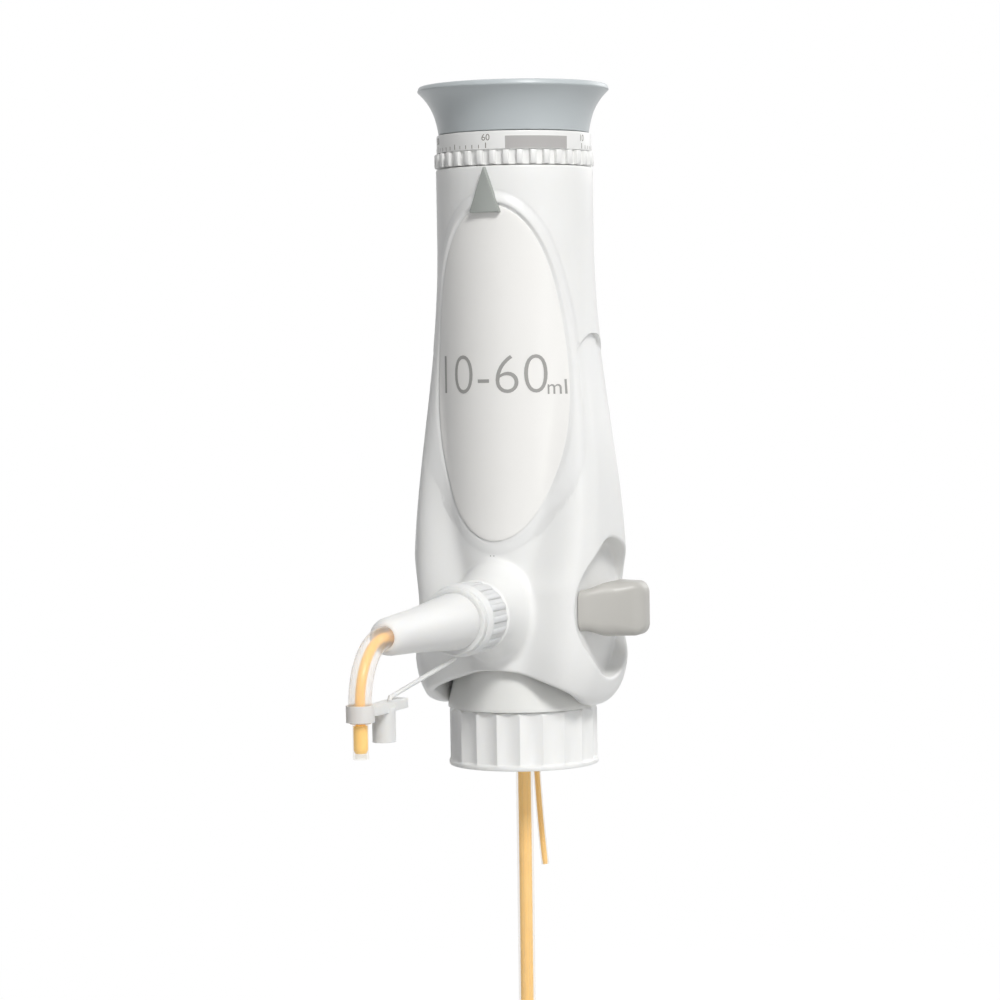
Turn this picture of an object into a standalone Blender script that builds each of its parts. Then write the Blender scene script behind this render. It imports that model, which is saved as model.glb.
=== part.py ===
"""Bottle top dispenser, 10 to 60 ml, for a laboratory bottle with a 45 mm screw neck.

Metres, +Z up. The origin is on the main axis, where the neck gasket meets the rim of the
bottle. The nozzle points to -Y and the valve knob to +X. Everything is shown with the
handle down, the dial at its largest volume and the recirculation valve shut.
"""
import bpy
import bmesh
import math
from mathutils import Matrix, Vector

MM = 0.001

# Clearances
SEAT_GAP = 0.3 * MM          # between pieces that rest on or fit in each other
STOP_GAP = 0.35 * MM         # left at the end of the stroke

# Metering: the piston, its stroke and the dial
PISTON_RADIUS = 18.0 * MM
LARGEST_VOLUME = 60e-6
SMALLEST_VOLUME = 10e-6
DIAL_SWEEP = math.radians(279)
STROKE = LARGEST_VOLUME / (math.pi * PISTON_RADIUS ** 2)
DIAL_TRAVEL = STROKE * (1 - SMALLEST_VOLUME / LARGEST_VOLUME)
LEAD_PER_RADIAN = DIAL_TRAVEL / DIAL_SWEEP

# Neck: gasket, retaining flange and screw collar
GASKET_HEIGHT = 1.5 * MM
GASKET_INNER_RADIUS = 16.6 * MM
FLANGE_RADIUS = 21.0 * MM
FLANGE_HEIGHT = 1.2 * MM
NECK_RADIUS = 15.5 * MM
FLANGE_TUBE_WALL = 2.7 * MM
COLLAR_RADIUS = 27.0 * MM
COLLAR_BORE_RADIUS = 22.8 * MM
COLLAR_SKIRT = 15.8 * MM
COLLAR_WEB = 1.7 * MM
COLLAR_RIM = 0.4 * MM
COLLAR_SCALLOPS = 20
SCALLOP_DEPTH = 0.8 * MM

# Housing: a round tower with two moulded ears at the height of the nozzle
TOWER_RADIUS = 28.5 * MM
TOWER_WALL = 2.7 * MM
TOWER_TOP = 200.8 * MM
NOZZLE_HEIGHT = 41.5 * MM
EAR_HALF_HEIGHT = 35.6 * MM
EAR_HALF_DEPTH = 30.5 * MM
EAR_PROUD = 7.5 * MM
EAR_CORNER_PROUD = 11.0 * MM
EAR_FADE_TOP = 175.0 * MM
EAR_FULL_TOP = 40.0 * MM
EAR_FULL_BOTTOM = 30.0 * MM
ARCH_HEIGHT = 20.5 * MM
POCKET_RADIUS = 25.3 * MM
NOTCH_TOP = 140.8 * MM
NOTCH_BOTTOM = 84.0 * MM
NOTCH_DEPTH = 0.8 * MM
NOTCH_HALF_ANGLE = math.radians(26)
BOSS_RADIUS = 13.0 * MM
BOSS_FRONT = 46.0 * MM
BOSS_FOOT_HALF_HEIGHT = 18.5 * MM
BOSS_FOOT_HALF_WIDTH = 14.2 * MM

# Oval label with its moulded bead, and the pointer above it
LABEL_CENTRE = 127.0 * MM
LABEL_HALF_HEIGHT = 61.6 * MM
LABEL_HALF_ANGLE = math.radians(56)
LABEL_THICKNESS = 0.4 * MM
BEAD_RADIUS = 1.1 * MM
POINTER_LAP = 4.5 * MM
POINTER_WIDTH = 11.3 * MM
POINTER_THICKNESS = 2.2 * MM

# Valve block
SKIRT_RADIUS = 27.5 * MM
WAIST_RADIUS = 24.2 * MM
WAIST_HEIGHT = 20.0 * MM
SHOULDER_RISE = 3.0 * MM
BLOCK_TOP = 56.0 * MM
CHANNEL_RADIUS = 3.2 * MM
SIDE_CHANNEL_RADIUS = 1.6 * MM
RETURN_OFFSET = 11.0 * MM
VENT_RADIUS = 1.0 * MM

# Filling valve, from below
FILLING_BODY_RADIUS = 8.4 * MM
FILLING_HEAD_RADIUS = 8.9 * MM
FILLING_HEAD_HEIGHT = 5.0 * MM
FILLING_TOP = 27.7 * MM
BARB_RADIUS = 2.05 * MM
BARB_LENGTH = 12.0 * MM
BALL_RADIUS = 4.0 * MM
BALL_LIFT = 2.0 * MM
SEAT_CONE_TOP = 9.5 * MM
SEAT_CONE_HEIGHT = 3.5 * MM
THROAT_RADIUS = 1.6 * MM
CHAMBER_CLEARANCE = 0.35 * MM

# Tubes below the bottle neck
SUCTION_TUBE_RADIUS = 3.15 * MM
SUCTION_TUBE_WALL = 0.8 * MM
SUCTION_TUBE_END = -215.0 * MM
SUCTION_TUBE_SWAY = -1.6 * MM
RETURN_TUBE_RADIUS = 1.5 * MM
RETURN_TUBE_WALL = 0.5 * MM
RETURN_TUBE_END = -55.0 * MM
RETURN_TUBE_SWAY = 3.5 * MM
RETURN_SOCKET_DEPTH = 8.0 * MM

# Glass barrel and its seats
BARREL_WALL = 2.6 * MM
BARREL_HEIGHT = 79.0 * MM
BARREL_SEAL_HEIGHT = 1.5 * MM
BARREL_CUP_DEPTH = 5.0 * MM
GUIDE_LIP = 4.0 * MM
GUIDE_HEIGHT = 8.0 * MM

# Piston, rod and handle
PISTON_HEIGHT = 12.0 * MM
PISTON_SEAL_WIDTH = 2.4 * MM
PISTON_SEAL_DEPTH = 1.6 * MM
ROD_RADIUS = 5.5 * MM
ROD_FLAT = 4.6 * MM
SLEEVE_RADIUS = 19.2 * MM
SLEEVE_WALL = 2.5 * MM
CATCH_RADIUS = 22.4 * MM
CATCH_HEIGHT = 2.4 * MM
KEY_WIDTH = 5.0 * MM
HANDLE_RIM_RADIUS = 34.9 * MM
HANDLE_FOOT_RADIUS = 27.3 * MM
HANDLE_HEIGHT = 17.4 * MM
HANDLE_WALL = 2.5 * MM
HANDLE_PLATE = 3.0 * MM
COVER_HEIGHT = 4.0 * MM
COVER_RADIUS = 27.0 * MM
COVER_WALL = 1.4 * MM
SCREW_RADIUS = 2.0 * MM
SCREW_HEAD_RADIUS = 4.2 * MM
SCREW_HEAD_HEIGHT = 2.0 * MM
SCREW_LENGTH = 12.0 * MM

# Dial, its threaded sleeve and the stop ring
KNURL_HEIGHT = 5.4 * MM
KNURL_PROUD = 0.9 * MM
KNURL_TEETH = 36
DRUM_RADIUS = 28.1 * MM
DRUM_HEIGHT = 6.6 * MM
THREAD_SLEEVE_RADIUS = 25.4 * MM
THREAD_SLEEVE_WALL = 2.4 * MM
THREAD_SLEEVE_BELOW = 2.8 * MM
STOP_RING_HEIGHT = 4.0 * MM
LUG_RADIUS = 1.6 * MM
LUG_PROUD = 1.5 * MM
GROOVE_CLEARANCE = 0.4 * MM

# Discharge valve and nozzle, measured forwards from the main axis
DISCHARGE_STEM_RADIUS = 9.5 * MM
DISCHARGE_STEM_START = 15.3 * MM
DISCHARGE_BORE_RADIUS = 4.2 * MM
DISCHARGE_SEAT_START = 19.0 * MM
DISCHARGE_SEAT_LENGTH = 3.0 * MM
DISCHARGE_BALL_RADIUS = 3.6 * MM
SPRING_WIRE = 0.35 * MM
SPRING_COILS = 5
UNION_THREAD_RADIUS = 11.2 * MM
UNION_HEAD_LENGTH = 11.4 * MM
NUT_RADIUS = 12.8 * MM
NUT_LENGTH = 17.0 * MM
NUT_RIBS = 18
NUT_RIB_DEPTH = 0.6 * MM
NUT_LIP = 1.7 * MM
SEAL_THICKNESS = 1.0 * MM
NOZZLE_FLANGE = 1.7 * MM
NOZZLE_TAIL = 13.0 * MM
CONE_BASE_RADIUS = 10.2 * MM
CONE_MID_RADIUS = 7.5 * MM
CONE_MID = 99.0 * MM
CONE_TIP_RADIUS = 6.2 * MM
CONE_TIP = 127.0 * MM
ELBOW_RADIUS = 3.75 * MM
ELBOW_WALL = 0.75 * MM
ELBOW_SOCKET = 10.0 * MM
ELBOW_BEND = 20.0 * MM
ELBOW_DROP = 26.0 * MM
DISCHARGE_TUBE_RADIUS = 2.65 * MM
DISCHARGE_TUBE_WALL = 0.8 * MM
DISCHARGE_TUBE_START = 64.0 * MM
DISCHARGE_TUBE_DROP = 37.6 * MM

# Cap link: a ring on the discharge tube, an arm towards the body and a cup below it
CAP_RING_TOP = 20.0 * MM
CAP_RING_HEIGHT = 5.5 * MM
CAP_RING_WALL = 0.75 * MM
CAP_ARM_END = 112.0 * MM
CAP_ARM_THICKNESS = 3.0 * MM
CAP_ARM_HALF_WIDTH = 3.0 * MM
CAP_CUP_PLACE = 128.0 * MM
CAP_CUP_RADIUS = 3.9 * MM
CAP_CUP_WALL = 0.85 * MM
CAP_CUP_BOTTOM = 34.2 * MM
STRAP_FOOT = 122.5 * MM
STRAP_RADIUS = 0.8 * MM
STRAP_RING_HEIGHT = 3.0 * MM
STRAP_RING_WALL = 1.2 * MM

# Recirculation stem and knob, measured sideways from the main axis
STEM_RADIUS = 7.0 * MM
STEM_START = 9.3 * MM
STEM_SHANK_RADIUS = 4.5 * MM
STEM_SHANK_LENGTH = 7.0 * MM
STEM_PORT = 12.5 * MM
ORING_PLACE = 20.5 * MM
ORING_WIDTH = 1.8 * MM
ORING_DEPTH = 0.9 * MM
KNOB_HUB_RADIUS = 12.3 * MM
KNOB_HUB_THICKNESS = 2.7 * MM
KNOB_BASE_HALF_LENGTH = 19.0 * MM
KNOB_TIP_HALF_LENGTH = 4.5 * MM
KNOB_BASE_HALF_WIDTH = 7.3 * MM
KNOB_GRIP_HALF_WIDTH = 9.8 * MM
KNOB_TIP = 48.7 * MM

# Facets
HOUSING_SEGMENTS = 44
LARGE_SEGMENTS = 32
MEDIUM_SEGMENTS = 22
SMALL_SEGMENTS = 14

# Places worked out from the sizes above
FLANGE_BOTTOM = GASKET_HEIGHT + SEAT_GAP
FLANGE_TOP = FLANGE_BOTTOM + FLANGE_HEIGHT
COLLAR_TOP = FLANGE_TOP + SEAT_GAP + COLLAR_WEB
FLANGE_TUBE_RADIUS = NECK_RADIUS + SEAT_GAP + FLANGE_TUBE_WALL
SKIRT_BOTTOM = COLLAR_TOP + SEAT_GAP
BORE_RADIUS = TOWER_RADIUS - TOWER_WALL
BLOCK_RADIUS = BORE_RADIUS - SEAT_GAP
EAR_BOTTOM = NOZZLE_HEIGHT - EAR_HALF_HEIGHT
POCKET_FLOOR = TOWER_RADIUS
POINTER_BASE = LABEL_CENTRE + LABEL_HALF_HEIGHT - POINTER_LAP
POINTER_TIP = TOWER_TOP - SEAT_GAP
BARREL_INNER_RADIUS = PISTON_RADIUS + SEAT_GAP
BARREL_RADIUS = BARREL_INNER_RADIUS + BARREL_WALL
BARREL_BOTTOM = BLOCK_TOP + BARREL_SEAL_HEIGHT + 2 * SEAT_GAP
BARREL_TOP = BARREL_BOTTOM + BARREL_HEIGHT
GUIDE_TOP = BARREL_TOP + SEAT_GAP + GUIDE_HEIGHT - GUIDE_LIP
PISTON_BOTTOM = BLOCK_TOP + BARREL_SEAL_HEIGHT + 3 * SEAT_GAP
PISTON_TOP = PISTON_BOTTOM + PISTON_HEIGHT
CATCH_BOTTOM = GUIDE_TOP + SEAT_GAP
CATCH_TOP = CATCH_BOTTOM + CATCH_HEIGHT
STOP_RING_BOTTOM = CATCH_TOP + STROKE + STOP_GAP
STOP_RING_TOP = STOP_RING_BOTTOM + STOP_RING_HEIGHT
LUG_HEIGHT = STOP_RING_BOTTOM + STOP_RING_HEIGHT / 2
DIAL_BOTTOM = TOWER_TOP + SEAT_GAP
KNURL_RADIUS = DRUM_RADIUS + KNURL_PROUD
DIAL_TOP = DIAL_BOTTOM + KNURL_HEIGHT + DRUM_HEIGHT
THREAD_SLEEVE_TOP = DIAL_TOP - SEAT_GAP
THREAD_SLEEVE_BOTTOM = STOP_RING_BOTTOM - DIAL_TRAVEL - THREAD_SLEEVE_BELOW
THREAD_SLEEVE_INNER_RADIUS = THREAD_SLEEVE_RADIUS - THREAD_SLEEVE_WALL
HANDLE_BOTTOM = DIAL_TOP + SEAT_GAP
HANDLE_TOP = HANDLE_BOTTOM + HANDLE_HEIGHT
PLATE_TOP = HANDLE_TOP - COVER_HEIGHT - SEAT_GAP
PLATE_BOTTOM = PLATE_TOP - HANDLE_PLATE
ROD_TOP = PLATE_BOTTOM - SEAT_GAP
UNION_START = BOSS_FRONT + SEAT_GAP
UNION_END = UNION_START + UNION_HEAD_LENGTH
SEAL_START = UNION_END + SEAT_GAP
FLANGE_START = SEAL_START + SEAL_THICKNESS + SEAT_GAP
FLANGE_END = FLANGE_START + NOZZLE_FLANGE
NUT_END = FLANGE_END + SEAT_GAP + NUT_LIP
ELBOW_BORE_RADIUS = ELBOW_RADIUS - ELBOW_WALL
SPOUT_PLACE = CONE_TIP + ELBOW_BEND
STRAP_RING_START = NUT_END + SEAT_GAP
KNOB_BACK = POCKET_FLOOR + SEAT_GAP

parts = None
cutters = None


def start_scene():
    """Empty the scene and make the collections for the parts and for the cutters."""
    global parts, cutters
    for obj in list(bpy.data.objects):
        bpy.data.objects.remove(obj)
    parts = bpy.data.collections.new("bottle_top_dispenser")
    cutters = bpy.data.collections.new("cutters")
    bpy.context.scene.collection.children.link(parts)
    bpy.context.scene.collection.children.link(cutters)


def plastic(name, colour, roughness=0.4, metallic=0.0, transmission=0.0):
    """A material with a Principled BSDF."""
    material = bpy.data.materials.new(name)
    material.use_nodes = True
    shader = material.node_tree.nodes["Principled BSDF"]
    shader.inputs["Base Color"].default_value = (*colour, 1.0)
    shader.inputs["Roughness"].default_value = roughness
    shader.inputs["Metallic"].default_value = metallic
    shader.inputs["Transmission Weight"].default_value = transmission
    return material


def new_object(name, mesh, collection=None):
    obj = bpy.data.objects.new(name, mesh)
    (collection or parts).objects.link(obj)
    return obj


def smooth(obj, angle=35):
    obj.data.shade_smooth()
    obj.data.set_sharp_from_angle(angle=math.radians(angle))


def finish(obj, material):
    """Give a finished part its material and smooth shading."""
    obj.data.materials.clear()
    obj.data.materials.append(material)
    smooth(obj)
    return obj


def face_outwards(bm):
    """Turn the faces of a closed mesh outwards."""
    if bm.calc_volume(signed=True) < 0:
        bmesh.ops.reverse_faces(bm, faces=bm.faces)


def mesh_from_bmesh(name, bm):
    face_outwards(bm)
    mesh = bpy.data.meshes.new(name)
    bm.to_mesh(mesh)
    bm.free()
    return mesh


def clockwise(profile):
    """The profile (radius, height) in the order that makes a turned shape face outwards."""
    area = 0.0
    for (r0, z0), (r1, z1) in zip(profile, profile[1:] + profile[:1]):
        area += r0 * z1 - r1 * z0
    return profile if area < 0 else profile[::-1]


def turned(name, profile, segments=LARGE_SEGMENTS, collection=None):
    """A turned shape: a closed outline of (radius, height) swept about Z by a Screw modifier.

    An outline that starts and ends on the axis is left open there and makes a solid.
    """
    ordered = clockwise(list(profile))
    on_axis = [i for i, (r, _) in enumerate(ordered) if r == 0]
    if on_axis:
        first = next(i for i in on_axis if ordered[i - 1][0] == 0)
        ordered = ordered[first:] + ordered[:first]
    edges = [(i, i + 1) for i in range(len(ordered) - 1)]
    if not on_axis:
        edges.append((len(ordered) - 1, 0))
    mesh = bpy.data.meshes.new(name)
    mesh.from_pydata([(r, 0, z) for r, z in ordered], edges, [])
    obj = new_object(name, mesh, collection)
    screw = obj.modifiers.new("turn", "SCREW")
    screw.axis = "Z"
    screw.angle = math.tau
    screw.steps = segments
    screw.render_steps = segments
    screw.use_merge_vertices = True
    screw.merge_threshold = 0.00001
    screw.use_smooth_shade = True
    return obj


def loft(name, rings, collection=None):
    """A closed solid through unlike sections: rings of points, each with the same count."""
    bm = bmesh.new()
    rows = [[bm.verts.new(point) for point in ring] for ring in rings]
    count = len(rings[0])
    for low, high in zip(rows, rows[1:]):
        for i in range(count):
            j = (i + 1) % count
            bm.faces.new((low[i], low[j], high[j], high[i]))
    bm.faces.new(rows[0][::-1])
    bm.faces.new(rows[-1])
    bmesh.ops.triangulate(bm, faces=bm.faces)
    return new_object(name, mesh_from_bmesh(name, bm), collection)


def ribbed_ring(name, profile, count, shape):
    """A ring whose outside repeats a rib or a scallop.

    profile is a closed outline of (radius, height, depth), where depth is how deep the
    pattern cuts there. shape lists the share of that depth at each sample of one repeat.
    """
    samples = len(shape) * count
    bm = bmesh.new()
    rows = []
    for radius, height, depth in profile:
        row = []
        for i in range(samples):
            r = radius - depth * shape[i % len(shape)]
            angle = math.tau * i / samples
            row.append(bm.verts.new((r * math.cos(angle), r * math.sin(angle), height)))
        rows.append(row)
    for near, far in zip(rows, rows[1:] + rows[:1]):
        for i in range(samples):
            j = (i + 1) % samples
            bm.faces.new((near[i], near[j], far[j], far[i]))
    return new_object(name, mesh_from_bmesh(name, bm))


def cutter(obj):
    """Put an object among the cutters, out of the finished model."""
    for collection in obj.users_collection:
        collection.objects.unlink(obj)
    cutters.objects.link(obj)
    obj.hide_render = True
    obj.display_type = "WIRE"
    return obj


def boolean(target, tool, operation):
    modifier = target.modifiers.new(tool.name, "BOOLEAN")
    modifier.operation = operation
    modifier.solver = "EXACT"
    modifier.object = cutter(tool)
    return target


def cut(target, *tools):
    for tool in tools:
        boolean(target, tool, "DIFFERENCE")
    return target


def join(target, *tools):
    for tool in tools:
        boolean(target, tool, "UNION")
    return target


def cylinder(name, radius, start, end, segments=SMALL_SEGMENTS):
    """A cylinder between two points."""
    start = Vector(start)
    end = Vector(end)
    along = end - start
    bm = bmesh.new()
    bmesh.ops.create_cone(bm, cap_ends=True, segments=segments, radius1=radius, radius2=radius,
                          depth=along.length)
    turn = along.to_track_quat("Z", "Y").to_matrix().to_4x4()
    bm.transform(Matrix.Translation((start + end) / 2) @ turn)
    return new_object(name, mesh_from_bmesh(name, bm))


def block(name, low, high):
    """A box between its lowest and highest corners."""
    low = Vector(low)
    high = Vector(high)
    bm = bmesh.new()
    bmesh.ops.create_cube(bm, size=1.0)
    bmesh.ops.scale(bm, vec=high - low, verts=bm.verts)
    bmesh.ops.translate(bm, vec=(low + high) / 2, verts=bm.verts)
    return new_object(name, mesh_from_bmesh(name, bm))


def path_curve(name, points, radius, resolution, caps):
    """A round rod along a path, as a curve with a bevel."""
    curve = bpy.data.curves.new(name, "CURVE")
    curve.dimensions = "3D"
    curve.bevel_depth = radius
    curve.bevel_resolution = resolution
    curve.use_fill_caps = caps
    spline = curve.splines.new("POLY")
    spline.points.add(len(points) - 1)
    for place, point in zip(spline.points, points):
        place.co = (*point, 1.0)
    return new_object(name, curve)


def meshed(curve_object):
    """The same object as a welded mesh."""
    depsgraph = bpy.context.evaluated_depsgraph_get()
    mesh = bpy.data.meshes.new_from_object(curve_object.evaluated_get(depsgraph))
    bm = bmesh.new()
    bm.from_mesh(mesh)
    bmesh.ops.remove_doubles(bm, verts=bm.verts, dist=0.00001)
    face_outwards(bm)
    bm.to_mesh(mesh)
    bm.free()
    name = curve_object.name
    obj = new_object(name + "_mesh", mesh)
    obj.matrix_world = curve_object.matrix_world
    bpy.data.objects.remove(curve_object)
    obj.name = name
    return obj


def rod(name, points, radius, resolution=2):
    """A solid round rod along a path."""
    return meshed(path_curve(name, points, radius, resolution, caps=True))


def pipe(name, points, radius, wall, resolution=2):
    """An open tube along a path: the outer skin of a curve, thickened inwards."""
    obj = meshed(path_curve(name, points, radius, resolution, caps=False))
    solidify = obj.modifiers.new("wall", "SOLIDIFY")
    solidify.thickness = wall
    solidify.offset = -1
    solidify.use_rim = True
    return obj


def forwards(obj, height=NOZZLE_HEIGHT):
    """Lay an upright shape down along the nozzle: its +Z becomes forwards, -Y."""
    obj.rotation_euler = (math.radians(90), 0, 0)
    obj.location = (0, 0, height)
    return obj


def sideways(obj, height=NOZZLE_HEIGHT):
    """Lay an upright shape down along the knob: its +Z becomes +X."""
    obj.rotation_euler = (0, math.radians(90), 0)
    obj.location = (0, 0, height)
    return obj


def half_cosine(value, start, end):
    """1 at start, 0 at end, smooth between them."""
    share = min(max((value - start) / (end - start), 0.0), 1.0)
    return 0.5 * (1 + math.cos(math.pi * share))


def ear_strength(height):
    """How far the ears stand out at a height, from 0 to 1."""
    below = (EAR_FULL_BOTTOM - height) / (EAR_FULL_BOTTOM - EAR_BOTTOM)
    rise = math.sqrt(max(1 - max(below, 0.0) ** 2.5, 0.0))
    return rise * half_cosine(height, EAR_FULL_TOP, EAR_FADE_TOP)


def ridge_scale(height):
    """The ears' ridges draw together above the pockets."""
    ridge = 24 + 21 * math.exp(-max(height - 1.2 * NOZZLE_HEIGHT, 0) / EAR_FULL_TOP)
    return 45 / ridge


def ear_outline(angle):
    """How far the ear stands out of the tower, at an angle from the side to the front."""
    side = (EAR_PROUD + TOWER_RADIUS) / math.cos(min(angle, 1.0)) - TOWER_RADIUS
    bulge = 0.0068 * (side / MM) * (math.degrees(angle) / 10) ** 2 * MM
    front = half_cosine(angle, math.radians(40), math.radians(76)) ** 1.4
    return min(side - bulge, EAR_CORNER_PROUD) * front


def housing_radius(angle, height, notch=True):
    """Radius of the housing's outer skin at an angle about Z, measured from +X."""
    from_side = math.acos(min(abs(math.cos(angle)), 1.0))
    scaled = from_side * ridge_scale(height)
    radius = TOWER_RADIUS + ear_strength(height) * ear_outline(scaled)
    if notch and height < NOTCH_TOP:
        fade = half_cosine(height, NOTCH_TOP, NOTCH_BOTTOM)
        width = half_cosine(from_side, 0.7 * NOTCH_HALF_ANGLE, NOTCH_HALF_ANGLE)
        radius -= NOTCH_DEPTH * fade * width
    return radius


def skin_ring(height):
    """One section of the housing's outer skin."""
    angles = [math.tau * i / HOUSING_SEGMENTS for i in range(HOUSING_SEGMENTS)]
    return [on_skin(angle, height, 0) for angle in angles]


def hollow_ring(height):
    """One section of the housing's hollow: a wall inside the skin, and the bore at least."""
    ring = []
    for i in range(HOUSING_SEGMENTS):
        angle = math.tau * i / HOUSING_SEGMENTS
        skin = housing_radius(angle, max(height, EAR_BOTTOM), notch=False)
        radius = max(skin - TOWER_WALL, BORE_RADIUS)
        ring.append((radius * math.cos(angle), radius * math.sin(angle), height))
    return ring


def on_skin(angle, height, proud):
    """A point on the housing's skin, standing proud of it."""
    radius = housing_radius(angle, height) + proud
    return Vector((radius * math.cos(angle), radius * math.sin(angle), height))


def oval_point(turn, share=1.0):
    """Angle about Z and height of a point of the label's oval; share 1 is its edge."""
    angle = -math.pi / 2 + share * LABEL_HALF_ANGLE * math.cos(turn)
    return angle, LABEL_CENTRE + LABEL_HALF_HEIGHT * math.sin(turn)


def nozzle_boss():
    """The soft flare of the housing around the nozzle, as sections going forwards."""
    rings = []
    steps = 5
    start = BORE_RADIUS * 0.85
    foot = TOWER_RADIUS * 0.97
    for place, share in [(start, 1.0), *[
            (foot + (BOSS_FRONT - foot) * i / steps, half_cosine(i, 0, steps) ** 1.6)
            for i in range(steps + 1)]]:
        half_width = BOSS_RADIUS + (BOSS_FOOT_HALF_WIDTH - BOSS_RADIUS) * share
        half_height = BOSS_RADIUS + (BOSS_FOOT_HALF_HEIGHT - BOSS_RADIUS) * share
        ring = []
        for i in range(MEDIUM_SEGMENTS):
            turn = math.tau * i / MEDIUM_SEGMENTS
            ring.append((half_width * math.cos(turn), -place,
                         NOZZLE_HEIGHT + half_height * math.sin(turn)))
        rings.append(ring)
    return loft("nozzle_boss", rings)


def label_bead():
    """The moulded bead around the label."""
    count = 36
    points = [on_skin(*oval_point(math.tau * i / count), 0) for i in range(count)]
    curve_object = path_curve("label_bead", points, BEAD_RADIUS, 0, caps=False)
    curve_object.data.splines[0].use_cyclic_u = True
    return meshed(curve_object)


def arch_cutter():
    """Everything below the housing's arched lower edge, as a flat outline through X."""
    reach = 2 * TOWER_RADIUS
    steps = 18
    tip = EAR_HALF_HEIGHT - SEAT_GAP
    widest = math.acos((NOZZLE_HEIGHT - ARCH_HEIGHT) / tip)
    outline = [(-reach, EAR_BOTTOM - reach), (reach, EAR_BOTTOM - reach), (reach, ARCH_HEIGHT)]
    for i in range(steps + 1):
        turn = widest * (1 - 2 * i / steps)
        outline.append((EAR_HALF_DEPTH * math.sin(turn), NOZZLE_HEIGHT - tip * math.cos(turn)))
    outline.append((-reach, ARCH_HEIGHT))
    return loft("arch", [[(x, y, z) for y, z in outline] for x in (-reach, reach)])


def make_housing():
    """The outer casing: ears, pockets, boss, bead and arch on a hollow tower."""
    lower = [EAR_BOTTOM + (EAR_FULL_BOTTOM - EAR_BOTTOM) * share for share in
             (0, 0.06, 0.16, 0.34, 0.6, 1.0)]
    flank = [EAR_FULL_BOTTOM + (NOTCH_TOP - EAR_FULL_BOTTOM) * i / 7 for i in range(1, 7)]
    upper = [NOTCH_TOP - SEAT_GAP, NOTCH_TOP, (NOTCH_TOP + EAR_FADE_TOP) / 2, EAR_FADE_TOP,
             TOWER_TOP]
    housing = loft("housing", [skin_ring(z) for z in lower + flank + upper])
    join(housing, nozzle_boss(), label_bead())

    heights = [EAR_BOTTOM + (EAR_FADE_TOP - EAR_BOTTOM) * i / 7 for i in range(1, 8)]
    hollow = loft("hollow", [hollow_ring(z) for z in
                             [EAR_BOTTOM - TOWER_WALL, *heights, TOWER_TOP + TOWER_WALL]])
    outside = EAR_HALF_DEPTH * 2
    inner_face = POCKET_FLOOR - TOWER_WALL
    pocket_top = NOZZLE_HEIGHT + POCKET_RADIUS + TOWER_WALL
    cut(hollow,
        block("ear_core_right", (inner_face, -outside, -outside), (outside, outside, pocket_top)),
        block("ear_core_left", (-outside, -outside, -outside),
              (-inner_face, outside, pocket_top)))
    cut(housing, hollow)
    for side in (1, -1):
        cut(housing, cylinder(f"pocket_{side}", POCKET_RADIUS,
                              (side * POCKET_FLOOR, 0, NOZZLE_HEIGHT),
                              (side * outside, 0, NOZZLE_HEIGHT), LARGE_SEGMENTS))
    cut(housing, arch_cutter(), turned("skirt_relief", [
        (0, WAIST_HEIGHT), (WAIST_RADIUS + SEAT_GAP, WAIST_HEIGHT),
        (SKIRT_RADIUS + SEAT_GAP, SKIRT_BOTTOM + MM), (SKIRT_RADIUS + SEAT_GAP, 0), (0, 0)],
        HOUSING_SEGMENTS))
    cut(housing, cylinder("boss_hole", DISCHARGE_STEM_RADIUS + SEAT_GAP,
                          (0, 0, NOZZLE_HEIGHT), (0, -2 * BOSS_FRONT, NOZZLE_HEIGHT),
                          MEDIUM_SEGMENTS))
    cut(housing, cylinder("stem_hole", STEM_RADIUS + SEAT_GAP,
                          (0, 0, NOZZLE_HEIGHT), (outside, 0, NOZZLE_HEIGHT)))
    return finish(housing, plastic("housing_white", (0.83, 0.83, 0.81), 0.42))


def make_label_plate():
    """A thin oval plate that follows the skin inside its bead."""
    edge = (BEAD_RADIUS + 2 * SEAT_GAP) / LABEL_HALF_HEIGHT
    rows = 12
    columns = 10
    bm = bmesh.new()
    grid = []
    for i in range(rows + 1):
        turn = math.pi * (i / rows - 0.5)
        row = []
        for j in range(columns + 1):
            share = 2 * j / columns - 1
            angle, height = oval_point(turn, share)
            angle = -math.pi / 2 + (angle + math.pi / 2) * (1 - edge * 2)
            height = LABEL_CENTRE + (height - LABEL_CENTRE) * (1 - edge)
            row.append(bm.verts.new(on_skin(angle, height, SEAT_GAP)))
        grid.append(row)
    for low, high in zip(grid, grid[1:]):
        for j in range(columns):
            bm.faces.new((low[j], low[j + 1], high[j + 1], high[j]))
    bmesh.ops.remove_doubles(bm, verts=bm.verts, dist=0.00001)
    mesh = bpy.data.meshes.new("label_plate")
    bm.to_mesh(mesh)
    bm.free()
    plate = new_object("label_plate", mesh)
    solidify = plate.modifiers.new("thickness", "SOLIDIFY")
    solidify.thickness = LABEL_THICKNESS
    solidify.offset = 1
    return finish(plate, plastic("label_white", (0.86, 0.86, 0.85), 0.35))


def make_index_pointer():
    """The pointer below the dial: a triangle that points up at the scale."""
    front = -TOWER_RADIUS - SEAT_GAP
    outline = [(-POINTER_WIDTH / 2, POINTER_BASE), (POINTER_WIDTH / 2, POINTER_BASE),
               (0, POINTER_TIP)]
    pointer = loft("index_pointer", [
        [(x, front, z) for x, z in outline],
        [(x, front - POINTER_THICKNESS, z) for x, z in outline]])
    bead_top = LABEL_CENTRE + LABEL_HALF_HEIGHT + BEAD_RADIUS + SEAT_GAP
    bead_front = -TOWER_RADIUS - BEAD_RADIUS - SEAT_GAP
    cut(pointer, block("bead_relief", (-POINTER_WIDTH, bead_front, POINTER_BASE - MM),
                       (POINTER_WIDTH, 0, bead_top)))
    return finish(pointer, plastic("pointer_grey", (0.36, 0.39, 0.38), 0.5))


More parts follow.
